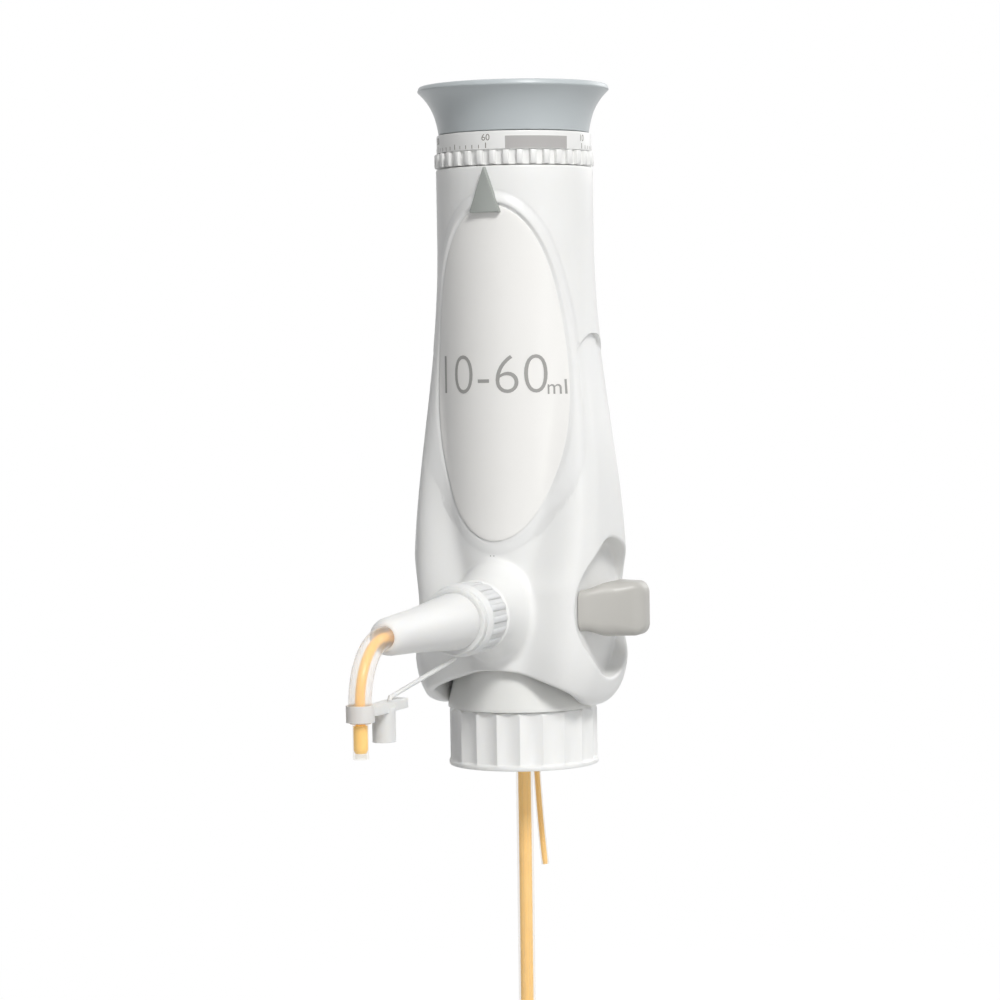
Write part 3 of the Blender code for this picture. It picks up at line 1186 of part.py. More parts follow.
def make_recirculation_valve():
    """The stem that turns in the valve block, its O-ring and the knob on the outside."""
    shank_start = POCKET_FLOOR
    groove = STEM_RADIUS - ORING_DEPTH
    groove_end = ORING_PLACE + ORING_WIDTH + 2 * SEAT_GAP
    stem = turned("recirculation_stem", [
        (STEM_SHANK_RADIUS, shank_start + STEM_SHANK_LENGTH), (STEM_SHANK_RADIUS, shank_start),
        (STEM_RADIUS, shank_start), (STEM_RADIUS, groove_end), (groove, groove_end),
        (groove, ORING_PLACE), (STEM_RADIUS, ORING_PLACE), (STEM_RADIUS, STEM_START),
        (0, STEM_START), (0, shank_start + STEM_SHANK_LENGTH)], SMALL_SEGMENTS)
    sideways(stem)
    cut(stem, cylinder("stem_axial_port", SIDE_CHANNEL_RADIUS, (0, 0, NOZZLE_HEIGHT),
                       (STEM_PORT + SIDE_CHANNEL_RADIUS, 0, NOZZLE_HEIGHT), 12),
        cylinder("stem_radial_port", SIDE_CHANNEL_RADIUS * 0.9, (STEM_PORT, 0, NOZZLE_HEIGHT),
                 (STEM_PORT, 0, NOZZLE_HEIGHT - 2 * STEM_RADIUS), 12))
    finish(stem, plastic("stem_white", (0.82, 0.82, 0.8), 0.4))
    oring = turned("stem_oring", [
        (STEM_RADIUS, ORING_PLACE + SEAT_GAP + ORING_WIDTH), (STEM_RADIUS, ORING_PLACE + SEAT_GAP),
        (groove + SEAT_GAP, ORING_PLACE + SEAT_GAP),
        (groove + SEAT_GAP, ORING_PLACE + SEAT_GAP + ORING_WIDTH)], SMALL_SEGMENTS)
    sideways(oring)
    finish(oring, plastic("oring_dark", (0.08, 0.08, 0.08), 0.6))

    hub_front = KNOB_BACK + KNOB_HUB_THICKNESS
    knob = sideways(turned("valve_knob", [
        (0, hub_front), (KNOB_HUB_RADIUS - MM / 2, hub_front),
        (KNOB_HUB_RADIUS, hub_front - MM / 2), (KNOB_HUB_RADIUS, KNOB_BACK), (0, KNOB_BACK)],
        LARGE_SEGMENTS))
    join(knob, knob_grip())
    cut(knob, cylinder("knob_socket", STEM_SHANK_RADIUS + SEAT_GAP, (0, 0, NOZZLE_HEIGHT),
                       (shank_start + STEM_SHANK_LENGTH + SEAT_GAP, 0, NOZZLE_HEIGHT)))
    finish(knob, plastic("knob_grey", (0.55, 0.54, 0.51), 0.45))


def knob_grip():
    """The knob's grip: rounded sections that narrow along it and widen across it."""
    length = KNOB_TIP - KNOB_BACK
    rings = []
    steps = 7
    for i in range(steps + 1):
        share = i / steps
        place = KNOB_BACK + length * share
        narrow = 1 - share ** 0.75
        half_length = KNOB_TIP_HALF_LENGTH + (
            KNOB_BASE_HALF_LENGTH - KNOB_TIP_HALF_LENGTH) * narrow
        widen = 1 - half_cosine(share, 0, 0.4)
        half_width = KNOB_BASE_HALF_WIDTH + (
            KNOB_GRIP_HALF_WIDTH - KNOB_BASE_HALF_WIDTH) * widen
        if i == steps:
            half_width -= MM
            half_length -= MM / 2
        rings.append(rounded_section(place, half_length, half_width))
    return loft("knob_grip", rings)


def rounded_section(place, half_length, half_width):
    """A rectangle across X with rounded corners, long along Y."""
    corner = min(half_length, half_width) * 0.35
    ring = []
    for quarter in range(4):
        centre_y = (half_length - corner) * (1 if quarter in (0, 3) else -1)
        centre_z = (half_width - corner) * (1 if quarter in (0, 1) else -1)
        for i in range(4):
            angle = math.radians(90) * (quarter + i / 3)
            ring.append((place, centre_y + corner * math.cos(angle),
                         NOZZLE_HEIGHT + centre_z + corner * math.sin(angle)))
    return ring


def main():
    start_scene()
    make_neck_gasket()
    make_retaining_flange()
    make_collar()
    make_valve_block()
    make_filling_valve()
    make_tubes_below()
    make_housing()
    make_label_plate()
    make_index_pointer()
    make_barrel()
    make_piston()
    make_lift_sleeve()
    make_stop_ring()
    make_dial()
    make_handle()
    make_discharge_valve()
    make_nozzle()
    make_cap()
    make_recirculation_valve()


main()
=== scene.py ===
"""Looks of the bottle top dispenser: fine surfaces, finishes, camera and studio.

Metres, +Z up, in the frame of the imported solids. The nozzle points to -Y and the valve knob
to +X. Every place is read from the frame or worked out from it; sizes that only matter to
the looks are the fields of the classes below.
"""
import logging
import math
from dataclasses import dataclass, field
from enum import Enum
from typing import Callable, Iterable, Sequence

import bmesh
import bpy
import numpy as np
from mathutils import Matrix, Vector


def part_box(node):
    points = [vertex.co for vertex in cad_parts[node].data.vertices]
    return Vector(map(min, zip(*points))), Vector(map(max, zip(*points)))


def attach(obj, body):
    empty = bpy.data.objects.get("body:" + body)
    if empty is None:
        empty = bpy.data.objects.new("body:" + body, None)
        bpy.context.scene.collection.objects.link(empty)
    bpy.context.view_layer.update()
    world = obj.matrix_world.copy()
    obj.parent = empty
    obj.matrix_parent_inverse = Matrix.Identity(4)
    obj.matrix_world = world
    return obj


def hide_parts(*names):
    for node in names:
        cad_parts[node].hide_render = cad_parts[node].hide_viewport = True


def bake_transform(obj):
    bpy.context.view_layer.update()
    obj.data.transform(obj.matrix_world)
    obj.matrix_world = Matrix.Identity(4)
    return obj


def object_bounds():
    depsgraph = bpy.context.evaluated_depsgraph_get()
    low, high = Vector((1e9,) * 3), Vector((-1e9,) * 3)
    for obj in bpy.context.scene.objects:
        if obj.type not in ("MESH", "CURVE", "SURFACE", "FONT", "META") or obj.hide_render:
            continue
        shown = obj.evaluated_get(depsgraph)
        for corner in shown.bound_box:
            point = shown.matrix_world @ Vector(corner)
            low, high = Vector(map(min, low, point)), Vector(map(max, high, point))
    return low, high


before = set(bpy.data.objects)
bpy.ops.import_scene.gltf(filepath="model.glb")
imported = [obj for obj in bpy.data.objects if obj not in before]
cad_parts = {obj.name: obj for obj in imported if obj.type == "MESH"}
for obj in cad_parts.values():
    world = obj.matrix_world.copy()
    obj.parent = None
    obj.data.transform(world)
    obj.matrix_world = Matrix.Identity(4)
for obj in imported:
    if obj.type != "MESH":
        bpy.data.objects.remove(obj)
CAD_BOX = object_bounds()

MM = 0.001
EDGE = 0.3 * MM  # Fillet of a plain moulded edge
CLOSED = 0.02 * MM  # Radius of a swept ring that closes on its line
LOG = logging.getLogger("dispenser")

Colour = tuple[float, float, float]


# Shader node groups


def new_group(name: str, inputs: dict[str, tuple[str, object]],
              outputs: dict[str, str]) -> bpy.types.NodeTree:
    """Start a shader node group with named sockets.

    Args:
        name: Name of the group.
        inputs: Socket type and default value of each input.
        outputs: Socket type of each output.

    Returns:
        The group, holding only its input and output nodes.
    """
    group = bpy.data.node_groups.new(name, "ShaderNodeTree")
    for label, (kind, value) in inputs.items():
        socket = group.interface.new_socket(label, in_out="INPUT", socket_type=kind)
        socket.default_value = value
    for label, kind in outputs.items():
        group.interface.new_socket(label, in_out="OUTPUT", socket_type=kind)
    group.nodes.new("NodeGroupInput").name = "In"
    group.nodes.new("NodeGroupOutput").name = "Out"
    return group


def fill(tree: bpy.types.NodeTree, node: bpy.types.Node, **values: object) -> bpy.types.Node:
    """Set or link the inputs of a node.

    Args:
        tree: The node's tree.
        node: The node.
        values: A value or an output socket for each input, by name with _ for a space.

    Returns:
        The node.
    """
    for key, value in values.items():
        socket = node.inputs[key.replace("_", " ")]
        if isinstance(value, bpy.types.NodeSocket):
            tree.links.new(value, socket)
        else:
            socket.default_value = value
    return node


def add_node(tree: bpy.types.NodeTree, kind: str, settings: dict[str, object] | None = None,
             **values: object) -> bpy.types.Node:
    """Add a node, set its properties, then its inputs as fill() does."""
    node = tree.nodes.new(kind)
    for key, value in (settings or {}).items():
        setattr(node, key, value)
    return fill(tree, node, **values)


def math_node(tree: bpy.types.NodeTree, operation: str,
              *values: object) -> bpy.types.NodeSocket:
    """Add a Math node.

    Args:
        tree: Node tree to add to.
        operation: Blender's name of the operation.
        values: A number or an output socket for each input.

    Returns:
        The node's output.
    """
    node = tree.nodes.new("ShaderNodeMath")
    node.operation = operation
    for socket, value in zip(node.inputs, values):
        if isinstance(value, (int, float)):
            socket.default_value = value
        else:
            tree.links.new(value, socket)
    return node.outputs[0]


def colour_mix(tree: bpy.types.NodeTree, factor: bpy.types.NodeSocket, first: object,
               second: object) -> bpy.types.NodeSocket:
    """Mix two colours, each a value or a socket, and return the result's socket."""
    return add_node(tree, "ShaderNodeMix", {"data_type": "RGBA"}, Factor=factor, A=first,
                    B=second).outputs["Result"]


def noise_node(tree: bpy.types.NodeTree, vector: bpy.types.NodeSocket, scale: object,
               detail: float = 2.0) -> bpy.types.NodeSocket:
    """Add a Noise texture and return its grey output.

    Args:
        tree: Node tree to add to.
        vector: Coordinates to read.
        scale: Number or socket for the texture's scale.
        detail: Octaves of detail.

    Returns:
        The texture's Fac socket.
    """
    return add_node(tree, "ShaderNodeTexNoise", Vector=vector, Scale=scale,
                    Detail=detail).outputs["Fac"]


def moulded_skin_group() -> bpy.types.NodeTree:
    """The skin of moulded plastic: fine grain, slow flow marks and a trace of handling.

    Returns:
        A group with Base and Shade colours in, and Color, Roughness and Height out.
    """
    group = new_group("moulded_skin", {
        "Vector": ("NodeSocketVector", (0, 0, 0)),
        "Base": ("NodeSocketColor", (0.8, 0.8, 0.8, 1)),
        "Shade": ("NodeSocketColor", (0.7, 0.7, 0.7, 1)),
        "Shade Amount": ("NodeSocketFloat", 0.3),
        "Grain Scale": ("NodeSocketFloat", 2600.0),
        "Grain Depth": ("NodeSocketFloat", 1.0),
        "Roughness": ("NodeSocketFloat", 0.4),
        "Roughness Spread": ("NodeSocketFloat", 0.08),
    }, {"Color": "NodeSocketColor", "Roughness": "NodeSocketFloat",
        "Height": "NodeSocketFloat"})
    source = group.nodes["In"].outputs
    flow_scale, patch_scale = 28.0, 110.0
    flow = noise_node(group, source["Vector"], flow_scale, 3.0)
    patch = noise_node(group, source["Vector"], patch_scale, 4.0)
    grain = noise_node(group, source["Vector"], source["Grain Scale"], 1.0)
    both = math_node(group, "MULTIPLY", flow, patch)
    amount = math_node(group, "MULTIPLY", both, source["Shade Amount"])
    centred = math_node(group, "SUBTRACT", patch, 0.5)
    spread = math_node(group, "MULTIPLY", centred, source["Roughness Spread"])
    fill(group, group.nodes["Out"],
         Color=colour_mix(group, amount, source["Base"], source["Shade"]),
         Roughness=math_node(group, "ADD", spread, source["Roughness"]),
         Height=math_node(group, "MULTIPLY", grain, source["Grain Depth"]))
    return group


def fine_scratches_group() -> bpy.types.NodeTree:
    """Hair-fine scratches round the Z axis, as turned or wiped surfaces have.

    Returns:
        A group with Vector and Density in, and Mask out.
    """
    group = new_group("fine_scratches", {
        "Vector": ("NodeSocketVector", (0, 0, 0)),
        "Density": ("NodeSocketFloat", 900.0),
    }, {"Mask": "NodeSocketFloat"})
    source = group.nodes["In"].outputs
    squash, threshold, break_scale = (0.02, 0.02, 1.0), 0.62, 300.0
    mapping = add_node(group, "ShaderNodeMapping", Vector=source["Vector"], Scale=squash)
    lines = noise_node(group, mapping.outputs[0], source["Density"])
    sharp = math_node(group, "GREATER_THAN", lines, threshold)
    broken = noise_node(group, source["Vector"], break_scale, 1.0)
    fill(group, group.nodes["Out"], Mask=math_node(group, "MULTIPLY", sharp, broken))
    return group


GROUPS: dict[str, bpy.types.NodeTree] = {
    "moulded_skin": moulded_skin_group(),
    "fine_scratches": fine_scratches_group(),
}


# Finishes


def new_material(name: str) -> tuple[bpy.types.Material, bpy.types.NodeTree, bpy.types.Node]:
    """Start a material with a Principled shader.

    Args:
        name: Name of the material.

    Returns:
        The material, its node tree and its Principled BSDF.
    """
    material = bpy.data.materials.new(name)
    material.use_nodes = True
    tree = material.node_tree
    return material, tree, tree.nodes["Principled BSDF"]


def linear(colour: Colour) -> tuple[float, float, float, float]:
    """Turn a display colour, 0 to 1 a channel, into the linear colour of a socket."""
    return (*[c / 12.92 if c <= 0.04045 else ((c + 0.055) / 1.055) ** 2.4 for c in colour], 1.0)


def object_coordinates(tree: bpy.types.NodeTree) -> bpy.types.NodeSocket:
    """Add Texture Coordinate and return its Object socket."""
    return tree.nodes.new("ShaderNodeTexCoord").outputs["Object"]


def bump(tree: bpy.types.NodeTree, shader: bpy.types.Node, height: bpy.types.NodeSocket,
         distance: float) -> None:
    """Feed a height through a Bump node into a shader's Normal.

    Args:
        tree: The material's node tree.
        shader: The Principled BSDF.
        height: Socket that gives the height.
        distance: Depth in metres of a height of 1.
    """
    node = add_node(tree, "ShaderNodeBump", Strength=1.0, Distance=distance, Height=height)
    fill(tree, shader, Normal=node.outputs["Normal"])


def group_node(tree: bpy.types.NodeTree, group: str, **values: object) -> bpy.types.Node:
    """Add one of GROUPS to a material, with its inputs as fill() takes them."""
    return add_node(tree, "ShaderNodeGroup", {"node_tree": GROUPS[group]}, **values)


@dataclass(frozen=True)
class Moulded:
    """Injection-moulded plastic: grain, flow marks and soft gloss.

    Colours are display colours. transmission, subsurface and coat are the same all over.
    """

    base: Colour
    shade: Colour
    roughness: float = 0.4
    spread: float = 0.08
    shade_amount: float = 0.35
    grain_scale: float = 2600.0
    grain_depth: float = 0.000012
    coat: float = 0.0
    coat_roughness: float = 0.15
    transmission: float = 0.0
    subsurface: float = 0.0
    ior: float = 1.46

    def material(self, name: str) -> bpy.types.Material:
        """Build the material.

        Args:
            name: Name of the material.

        Returns:
            The material.
        """
        material, tree, shader = new_material(name)
        skin = group_node(tree, "moulded_skin", Vector=object_coordinates(tree),
                          Base=linear(self.base), Shade=linear(self.shade),
                          Shade_Amount=self.shade_amount, Grain_Scale=self.grain_scale,
                          Roughness=self.roughness, Roughness_Spread=self.spread)
        fill(tree, shader, Base_Color=skin.outputs["Color"],
             Roughness=skin.outputs["Roughness"], IOR=self.ior, Coat_Weight=self.coat,
             Coat_Roughness=self.coat_roughness, Transmission_Weight=self.transmission)
        bump(tree, shader, skin.outputs["Height"], self.grain_depth)
        if self.subsurface:
            fill(tree, shader, Subsurface_Weight=self.subsurface,
                 Subsurface_Radius=(1.0, 0.95, 0.85), Subsurface_Scale=2.0 * MM)
        return material


@dataclass(frozen=True)
class Clear:
    """Glass, clear tube or coloured liquid, with a faint ripple, fine scratches and a painted
    glow.
    """

    tint: Colour
    deep: Colour
    ior: float = 1.45
    roughness: float = 0.04
    ripple_scale: float = 160.0
    ripple_depth: float = 0.00004
    scratch_roughness: float = 0.12
    transmission: float = 1.0
    alpha: float = 1.0
    # Painted glow: emission in the tint that stands in for light passing through the liquid.
    glow: float = 0.0

    def material(self, name: str) -> bpy.types.Material:
        """Build the material.

        Args:
            name: Name of the material.

        Returns:
            The material.
        """
        material, tree, shader = new_material(name)
        place = object_coordinates(tree)
        ripple = noise_node(tree, place, self.ripple_scale)
        colour = colour_mix(tree, ripple, linear(self.tint), linear(self.deep))
        scratches = group_node(tree, "fine_scratches", Vector=place)
        marked = math_node(tree, "MULTIPLY_ADD", scratches.outputs["Mask"],
                           self.scratch_roughness, self.roughness)
        # Emission Strength is the painted glow, in the tint's colour.
        fill(tree, shader, Base_Color=colour, Roughness=marked, IOR=self.ior,
             Transmission_Weight=self.transmission, Alpha=self.alpha, Emission_Color=colour,
             Emission_Strength=self.glow)
        bump(tree, shader, ripple, self.ripple_depth)
        return material


@dataclass(frozen=True)
class Milky:
    """A milky wall: thin where it is looked at squarely, white towards its edges."""

    base: Colour
    shade: Colour
    roughness: float = 0.28
    clear_facing: float = 0.62
    white_facing: float = 1.0
    clear_alpha: float = 0.30

    def material(self, name: str) -> bpy.types.Material:
        """Build the material.

        Args:
            name: Name of the material.

        Returns:
            The material.
        """
        material = Moulded(self.base, self.shade, self.roughness, spread=0.05,
                           grain_depth=0.000006, subsurface=0.4).material(name)
        tree = material.node_tree
        weight = add_node(tree, "ShaderNodeLayerWeight")
        cover = add_node(tree, "ShaderNodeMapRange", {"interpolation_type": "SMOOTHSTEP"},
                         Value=weight.outputs["Facing"], From_Min=self.clear_facing,
                         From_Max=self.white_facing, To_Min=self.clear_alpha)
        fill(tree, tree.nodes["Principled BSDF"], Alpha=cover.outputs["Result"])
        return material


@dataclass(frozen=True)
class TurnedSteel:
    """Stainless steel with fine turning marks."""

    base: Colour = (0.72, 0.72, 0.73)
    roughness: float = 0.28
    scratch_density: float = 1500.0
    scratch_roughness: float = 0.25
    scratch_depth: float = 0.000004
    cloud_scale: float = 220.0
    cloud_shade: float = 0.86

    def material(self, name: str) -> bpy.types.Material:
        """Build the material.

        Args:
            name: Name of the material.

        Returns:
            The material.
        """
        material, tree, shader = new_material(name)
        place = object_coordinates(tree)
        scratches = group_node(tree, "fine_scratches", Vector=place,
                               Density=self.scratch_density)
        cloud = noise_node(tree, place, self.cloud_scale, 3.0)
        colour = colour_mix(tree, cloud, linear(self.base),
                            linear(tuple(self.cloud_shade * c for c in self.base)))
        marked = math_node(tree, "MULTIPLY_ADD", scratches.outputs["Mask"],
                           self.scratch_roughness, self.roughness)
        fill(tree, shader, Base_Color=colour, Roughness=marked, Metallic=1.0)
        bump(tree, shader, scratches.outputs["Mask"], self.scratch_depth)
        return material


class Finish(Enum):
    """Every finish on the dispenser."""

    HOUSING = Moulded((0.945, 0.945, 0.94), (0.915, 0.915, 0.905), roughness=0.40, coat=0.12,
                      coat_roughness=0.3, subsurface=0.15)
    LABEL = Moulded((0.96, 0.955, 0.945), (0.935, 0.93, 0.918), roughness=0.34, spread=0.05,
                    grain_scale=900.0, grain_depth=0.000004, coat=0.15)
    POINTER = Moulded((0.63, 0.645, 0.63), (0.58, 0.595, 0.58), roughness=0.48)
    HANDLE = Moulded((0.75, 0.775, 0.785), (0.70, 0.73, 0.74), roughness=0.36, coat=0.2,
                     coat_roughness=0.25)
    KNOB = Moulded((0.745, 0.737, 0.717), (0.69, 0.68, 0.66), roughness=0.42, coat=0.1)
    DIAL = Moulded((0.94, 0.94, 0.935), (0.91, 0.91, 0.90), roughness=0.36, coat=0.2)
    NOZZLE = Moulded((0.94, 0.94, 0.935), (0.92, 0.92, 0.91), roughness=0.5, coat=0.05,
                     subsurface=0.5)
    COLLAR = Moulded((0.96, 0.96, 0.955), (0.93, 0.93, 0.92), roughness=0.36, coat=0.1,
                     subsurface=0.25)
    BLOCK = Moulded((0.93, 0.93, 0.92), (0.89, 0.89, 0.87), roughness=0.42, subsurface=0.2)
    STOP = Moulded((0.66, 0.67, 0.67), (0.60, 0.61, 0.61), roughness=0.45)
    MILKY = Milky((0.975, 0.975, 0.965), (0.95, 0.95, 0.94))
    CAP = Moulded((0.965, 0.965, 0.955), (0.935, 0.935, 0.925), roughness=0.3, spread=0.05,
                  grain_depth=0.000006, transmission=0.12, subsurface=0.5, ior=1.42)
    SEAL = Moulded((0.88, 0.88, 0.86), (0.82, 0.82, 0.80), roughness=0.6, grain_scale=1500.0)
    RUBBER = Moulded((0.16, 0.16, 0.165), (0.11, 0.11, 0.115), roughness=0.62,
                     grain_scale=1800.0)
    INK = Moulded((0.66, 0.655, 0.645), (0.58, 0.575, 0.565), roughness=0.5, grain_scale=4000.0,
                  shade_amount=0.8)
    DIAL_INK = Moulded((0.55, 0.53, 0.50), (0.46, 0.44, 0.42), roughness=0.5,
                       grain_scale=4000.0)
    SCALE_BAND = Moulded((0.71, 0.70, 0.695), (0.66, 0.65, 0.645), roughness=0.45,
                         grain_scale=4000.0)
    TUBE = Clear((0.97, 0.95, 0.88), (0.96, 0.93, 0.84), ior=1.36, roughness=0.08,
                 transmission=0.0, alpha=0.16)
    # Painted glow: the liquid emits light in its tint, standing in for light shining through it.
    LIQUID = Clear((1.0, 0.82, 0.45), (0.98, 0.77, 0.38), ior=1.34, roughness=0.06,
                   transmission=0.0, glow=0.22)
    # Painted glow, as in LIQUID, a little stronger for the spout.
    SPOUT_LIQUID = Clear((1.0, 0.77, 0.20), (0.98, 0.71, 0.14), ior=1.34, roughness=0.06,
                         transmission=0.0, glow=0.3)
    GLASS = Clear((0.97, 0.985, 0.98), (0.95, 0.975, 0.97), ior=1.47, roughness=0.02)
    STEEL = TurnedSteel()


MATERIALS: dict[Finish, bpy.types.Material] = {}


def finish_of(finish: Finish) -> bpy.types.Material:
    """The material of a finish, built on its first use."""
    if finish not in MATERIALS:
        MATERIALS[finish] = finish.value.material(finish.name.lower())
    return MATERIALS[finish]


# Meshes


def new_object(name: str, data: bpy.types.ID) -> bpy.types.Object:
    """Make an object for some data and link it to the scene."""
    obj = bpy.data.objects.new(name, data)
    bpy.context.scene.collection.objects.link(obj)
    return obj


def mesh_object(name: str, points: Iterable[Sequence[float]],
                faces: Iterable[Sequence[int]], weld: float = 0.000002) -> bpy.types.Object:
    """Make a mesh with its doubles merged and its faces pointing out.

    Args:
        name: Name of the object.
        points: The vertices.
        faces: The faces, as indices of vertices.
        weld: Distance below which vertices are merged.

    Returns:
        The object, at the origin.
    """
    mesh = bpy.data.meshes.new(name)
    mesh.from_pydata([tuple(p) for p in points], [], [tuple(f) for f in faces])
    tidy_mesh(mesh, weld)
    return new_object(name, mesh)


def tidy_mesh(mesh: bpy.types.Mesh, weld: float) -> None:
    """Merge a mesh's doubles, drop flat faces and turn it outwards.

    Args:
        mesh: The mesh to change.
        weld: Distance below which vertices are merged.
    """
    bm = bmesh.new()
    bm.from_mesh(mesh)
    bmesh.ops.remove_doubles(bm, verts=bm.verts, dist=weld)
    bmesh.ops.dissolve_degenerate(bm, dist=weld / 2, edges=bm.edges)
    loose = [v for v in bm.verts if not v.link_faces]
    bmesh.ops.delete(bm, geom=loose, context="VERTS")
    bmesh.ops.recalc_face_normals(bm, faces=bm.faces)
    if all(len(e.link_faces) == 2 for e in bm.edges) and bm.calc_volume(signed=True) < 0:
        bmesh.ops.reverse_faces(bm, faces=bm.faces)
    bm.to_mesh(mesh)
    bm.free()


def smooth(obj: bpy.types.Object, angle: float = 34.0) -> bpy.types.Object:
    """Shade an object smooth, with edges over an angle in degrees kept sharp."""
    obj.data.shade_smooth()
    obj.data.set_sharp_from_angle(angle=math.radians(angle))
    return obj


def evaluated(obj: bpy.types.Object) -> bpy.types.Mesh:
    """The mesh that an object's modifiers or its curve make of it."""
    depsgraph = bpy.context.evaluated_depsgraph_get()
    return bpy.data.meshes.new_from_object(obj.evaluated_get(depsgraph))


def settle(obj: bpy.types.Object) -> bpy.types.Object:
    """Replace an object's mesh by its evaluated mesh and drop its modifiers."""
    mesh = evaluated(obj)
    obj.modifiers.clear()
    obj.data = mesh
    return obj


def bevel(obj: bpy.types.Object, width: float, segments: int = 3,
          angle: float = 30.0) -> bpy.types.Object:
    """Round a mesh's sharp edges with an applied Bevel.

    Args:
        obj: The object.
        width: Width of the bevel.
        segments: Its segments.
        angle: Edges sharper than this, in degrees, are bevelled.

    Returns:
        The object.
    """
    modifier = obj.modifiers.new("edges", "BEVEL")
    modifier.width = width
    modifier.segments = segments
    modifier.limit_method = "ANGLE"
    modifier.angle_limit = math.radians(angle)
    modifier.harden_normals = False
    return settle(obj)


def joined(target: bpy.types.Object, tool: bpy.types.Object,
           operation: str = "UNION") -> bpy.types.Object:
    """Join a closed mesh to another, or cut it out, and remove it.

    Args:
        target: The mesh that is kept.
        tool: The mesh that is joined or cut out.
        operation: Blender's name of the Boolean operation.

    Returns:
        The target.
    """
    modifier = target.modifiers.new("join", "BOOLEAN")
    modifier.operation = operation
    modifier.object = tool
    modifier.solver = "EXACT"
    settle(target)
    bpy.data.objects.remove(tool)
    return target


def merged(name: str, pieces: Sequence[bpy.types.Object]) -> bpy.types.Object:
    """Put several objects' meshes into one object, with their materials.

    Args:
        name: Name of the new object.
        pieces: The objects, which are removed.

    Returns:
        The new object.
    """
    bm = bmesh.new()
    materials: list[bpy.types.Material] = []
    for piece in pieces:
        start = len(bm.faces)
        bm.from_mesh(piece.data)
        bm.faces.ensure_lookup_table()
        own = [m for m in piece.data.materials if m]
        for material in own:
            if material not in materials:
                materials.append(material)
        for face in bm.faces[start:]:
            if own:
                face.material_index = materials.index(own[min(face.material_index,
                                                              len(own) - 1)])
    mesh = bpy.data.meshes.new(name)
    bm.to_mesh(mesh)
    bm.free()
    for material in materials:
        mesh.materials.append(material)
    obj = new_object(name, mesh)
    for piece in pieces:
        bpy.data.objects.remove(piece)
    return obj


def grid_faces(rows: int, columns: int, around: bool = False) -> list[tuple[int, ...]]:
    """Faces of a grid of points stored row by row.

    Args:
        rows: Number of rows.
        columns: Points in a row.
        around: True if each row closes on itself.

    Returns:
        The quads.
    """
    last = columns if around else columns - 1
    return [(i * columns + j, i * columns + (j + 1) % columns,
             (i + 1) * columns + (j + 1) % columns, (i + 1) * columns + j)
            for i in range(rows - 1) for j in range(last)]


def polar(radius: float, angle: float, height: float) -> tuple[float, float, float]:
    """A point at a radius and an angle about Z."""
    return radius * math.cos(angle), radius * math.sin(angle), height


def eased(share: float) -> float:
    """A share, 0 to 1, with a soft start and end."""
    return share * share * (3 - 2 * share)


def ringed(name: str, rows: Sequence[Sequence[Sequence[float]]],
           capped: bool = False) -> bpy.types.Object:
    """Make a mesh from rings of points that all have the same number of them.

    Args:
        name: Name of the object.
        rows: The rings.
        capped: True closes the first and the last ring with a face each.

    Returns:
        The object.
    """
    count, points = len(rows[0]), [p for row in rows for p in row]
    faces = grid_faces(len(rows), count, True)
    if capped:
        faces += [tuple(range(count)), tuple(range(len(points) - count, len(points)))]
    return mesh_object(name, points, faces)


def filleted(corners: Sequence[Sequence[float]], steps: int = 5) -> list[tuple[float, float]]:
    """Round the corners of a closed outline.

    Args:
        corners: Points of (radius, height), or (radius, height, fillet).
        steps: Segments in each fillet.

    Returns:
        The outline, with arcs in place of the filleted corners.
    """
    outline: list[tuple[float, float]] = []
    count = len(corners)
    for i, corner in enumerate(corners):
        place = Vector(corner[:2])
        size = corner[2] if len(corner) > 2 else 0.0
        before = Vector(corners[i - 1][:2]) - place
        after = Vector(corners[(i + 1) % count][:2]) - place
        if size <= 0 or before.length < 1e-9 or after.length < 1e-9:
            outline.append(tuple(place))
            continue
        reach = min(size, 0.48 * before.length, 0.48 * after.length)
        start, end = place + before.normalized() * reach, place + after.normalized() * reach
        for k in range(steps + 1):
            t = k / steps
            point = start * (1 - t) ** 2 + place * 2 * t * (1 - t) + end * t ** 2
            outline.append(tuple(point))
    return outline


def lathe(name: str, corners: Sequence[Sequence[float]], segments: int = 128,
          steps: int = 5) -> bpy.types.Object:
    """Turn a closed outline about Z.

    Args:
        name: Name of the object.
        corners: Outline, as filleted() takes it.
        segments: Segments round the axis.
        steps: Segments in each fillet.

    Returns:
        The object, shaded smooth.
    """
    outline = filleted(corners, steps)
    rows = [[polar(r, math.tau * j / segments, z) for j in range(segments)]
            for r, z in outline]
    return smooth(ringed(name, [*rows, rows[0]]))


def swept(name: str, path: Sequence[Vector], rings: Sequence[tuple[float, float]],
          sides: int = 32) -> bpy.types.Object:
    """Sweep a closed section of radii along a path, so that a tube has its real wall.

    Args:
        name: Name of the object.
        path: Points of the path.
        rings: Radius and the share of the path, 0 to 1, for each ring, in closed order.
        sides: Points round each ring.

    Returns:
        The object, shaded smooth.
    """
    frames = path_frames(path)
    last = len(path) - 1
    points: list[Vector] = []
    rows = 0
    for (radius, share), (radius_next, share_next) in zip(rings, [*rings[1:], rings[0]]):
        low, high = round(share * last), round(share_next * last)
        stride = 1 if high > low else -1
        indices = list(range(low, high, stride)) or [low]
        for index in indices:
            t = (index - low) / (high - low) if high != low else 0.0
            size = radius + (radius_next - radius) * t
            place, side, up = frames[index]
            for j in range(sides):
                a = math.tau * j / sides
                points.append(place + side * size * math.cos(a) + up * size * math.sin(a))
            rows += 1
    points += points[:sides]
    return smooth(mesh_object(name, points, grid_faces(rows + 1, sides, True)))


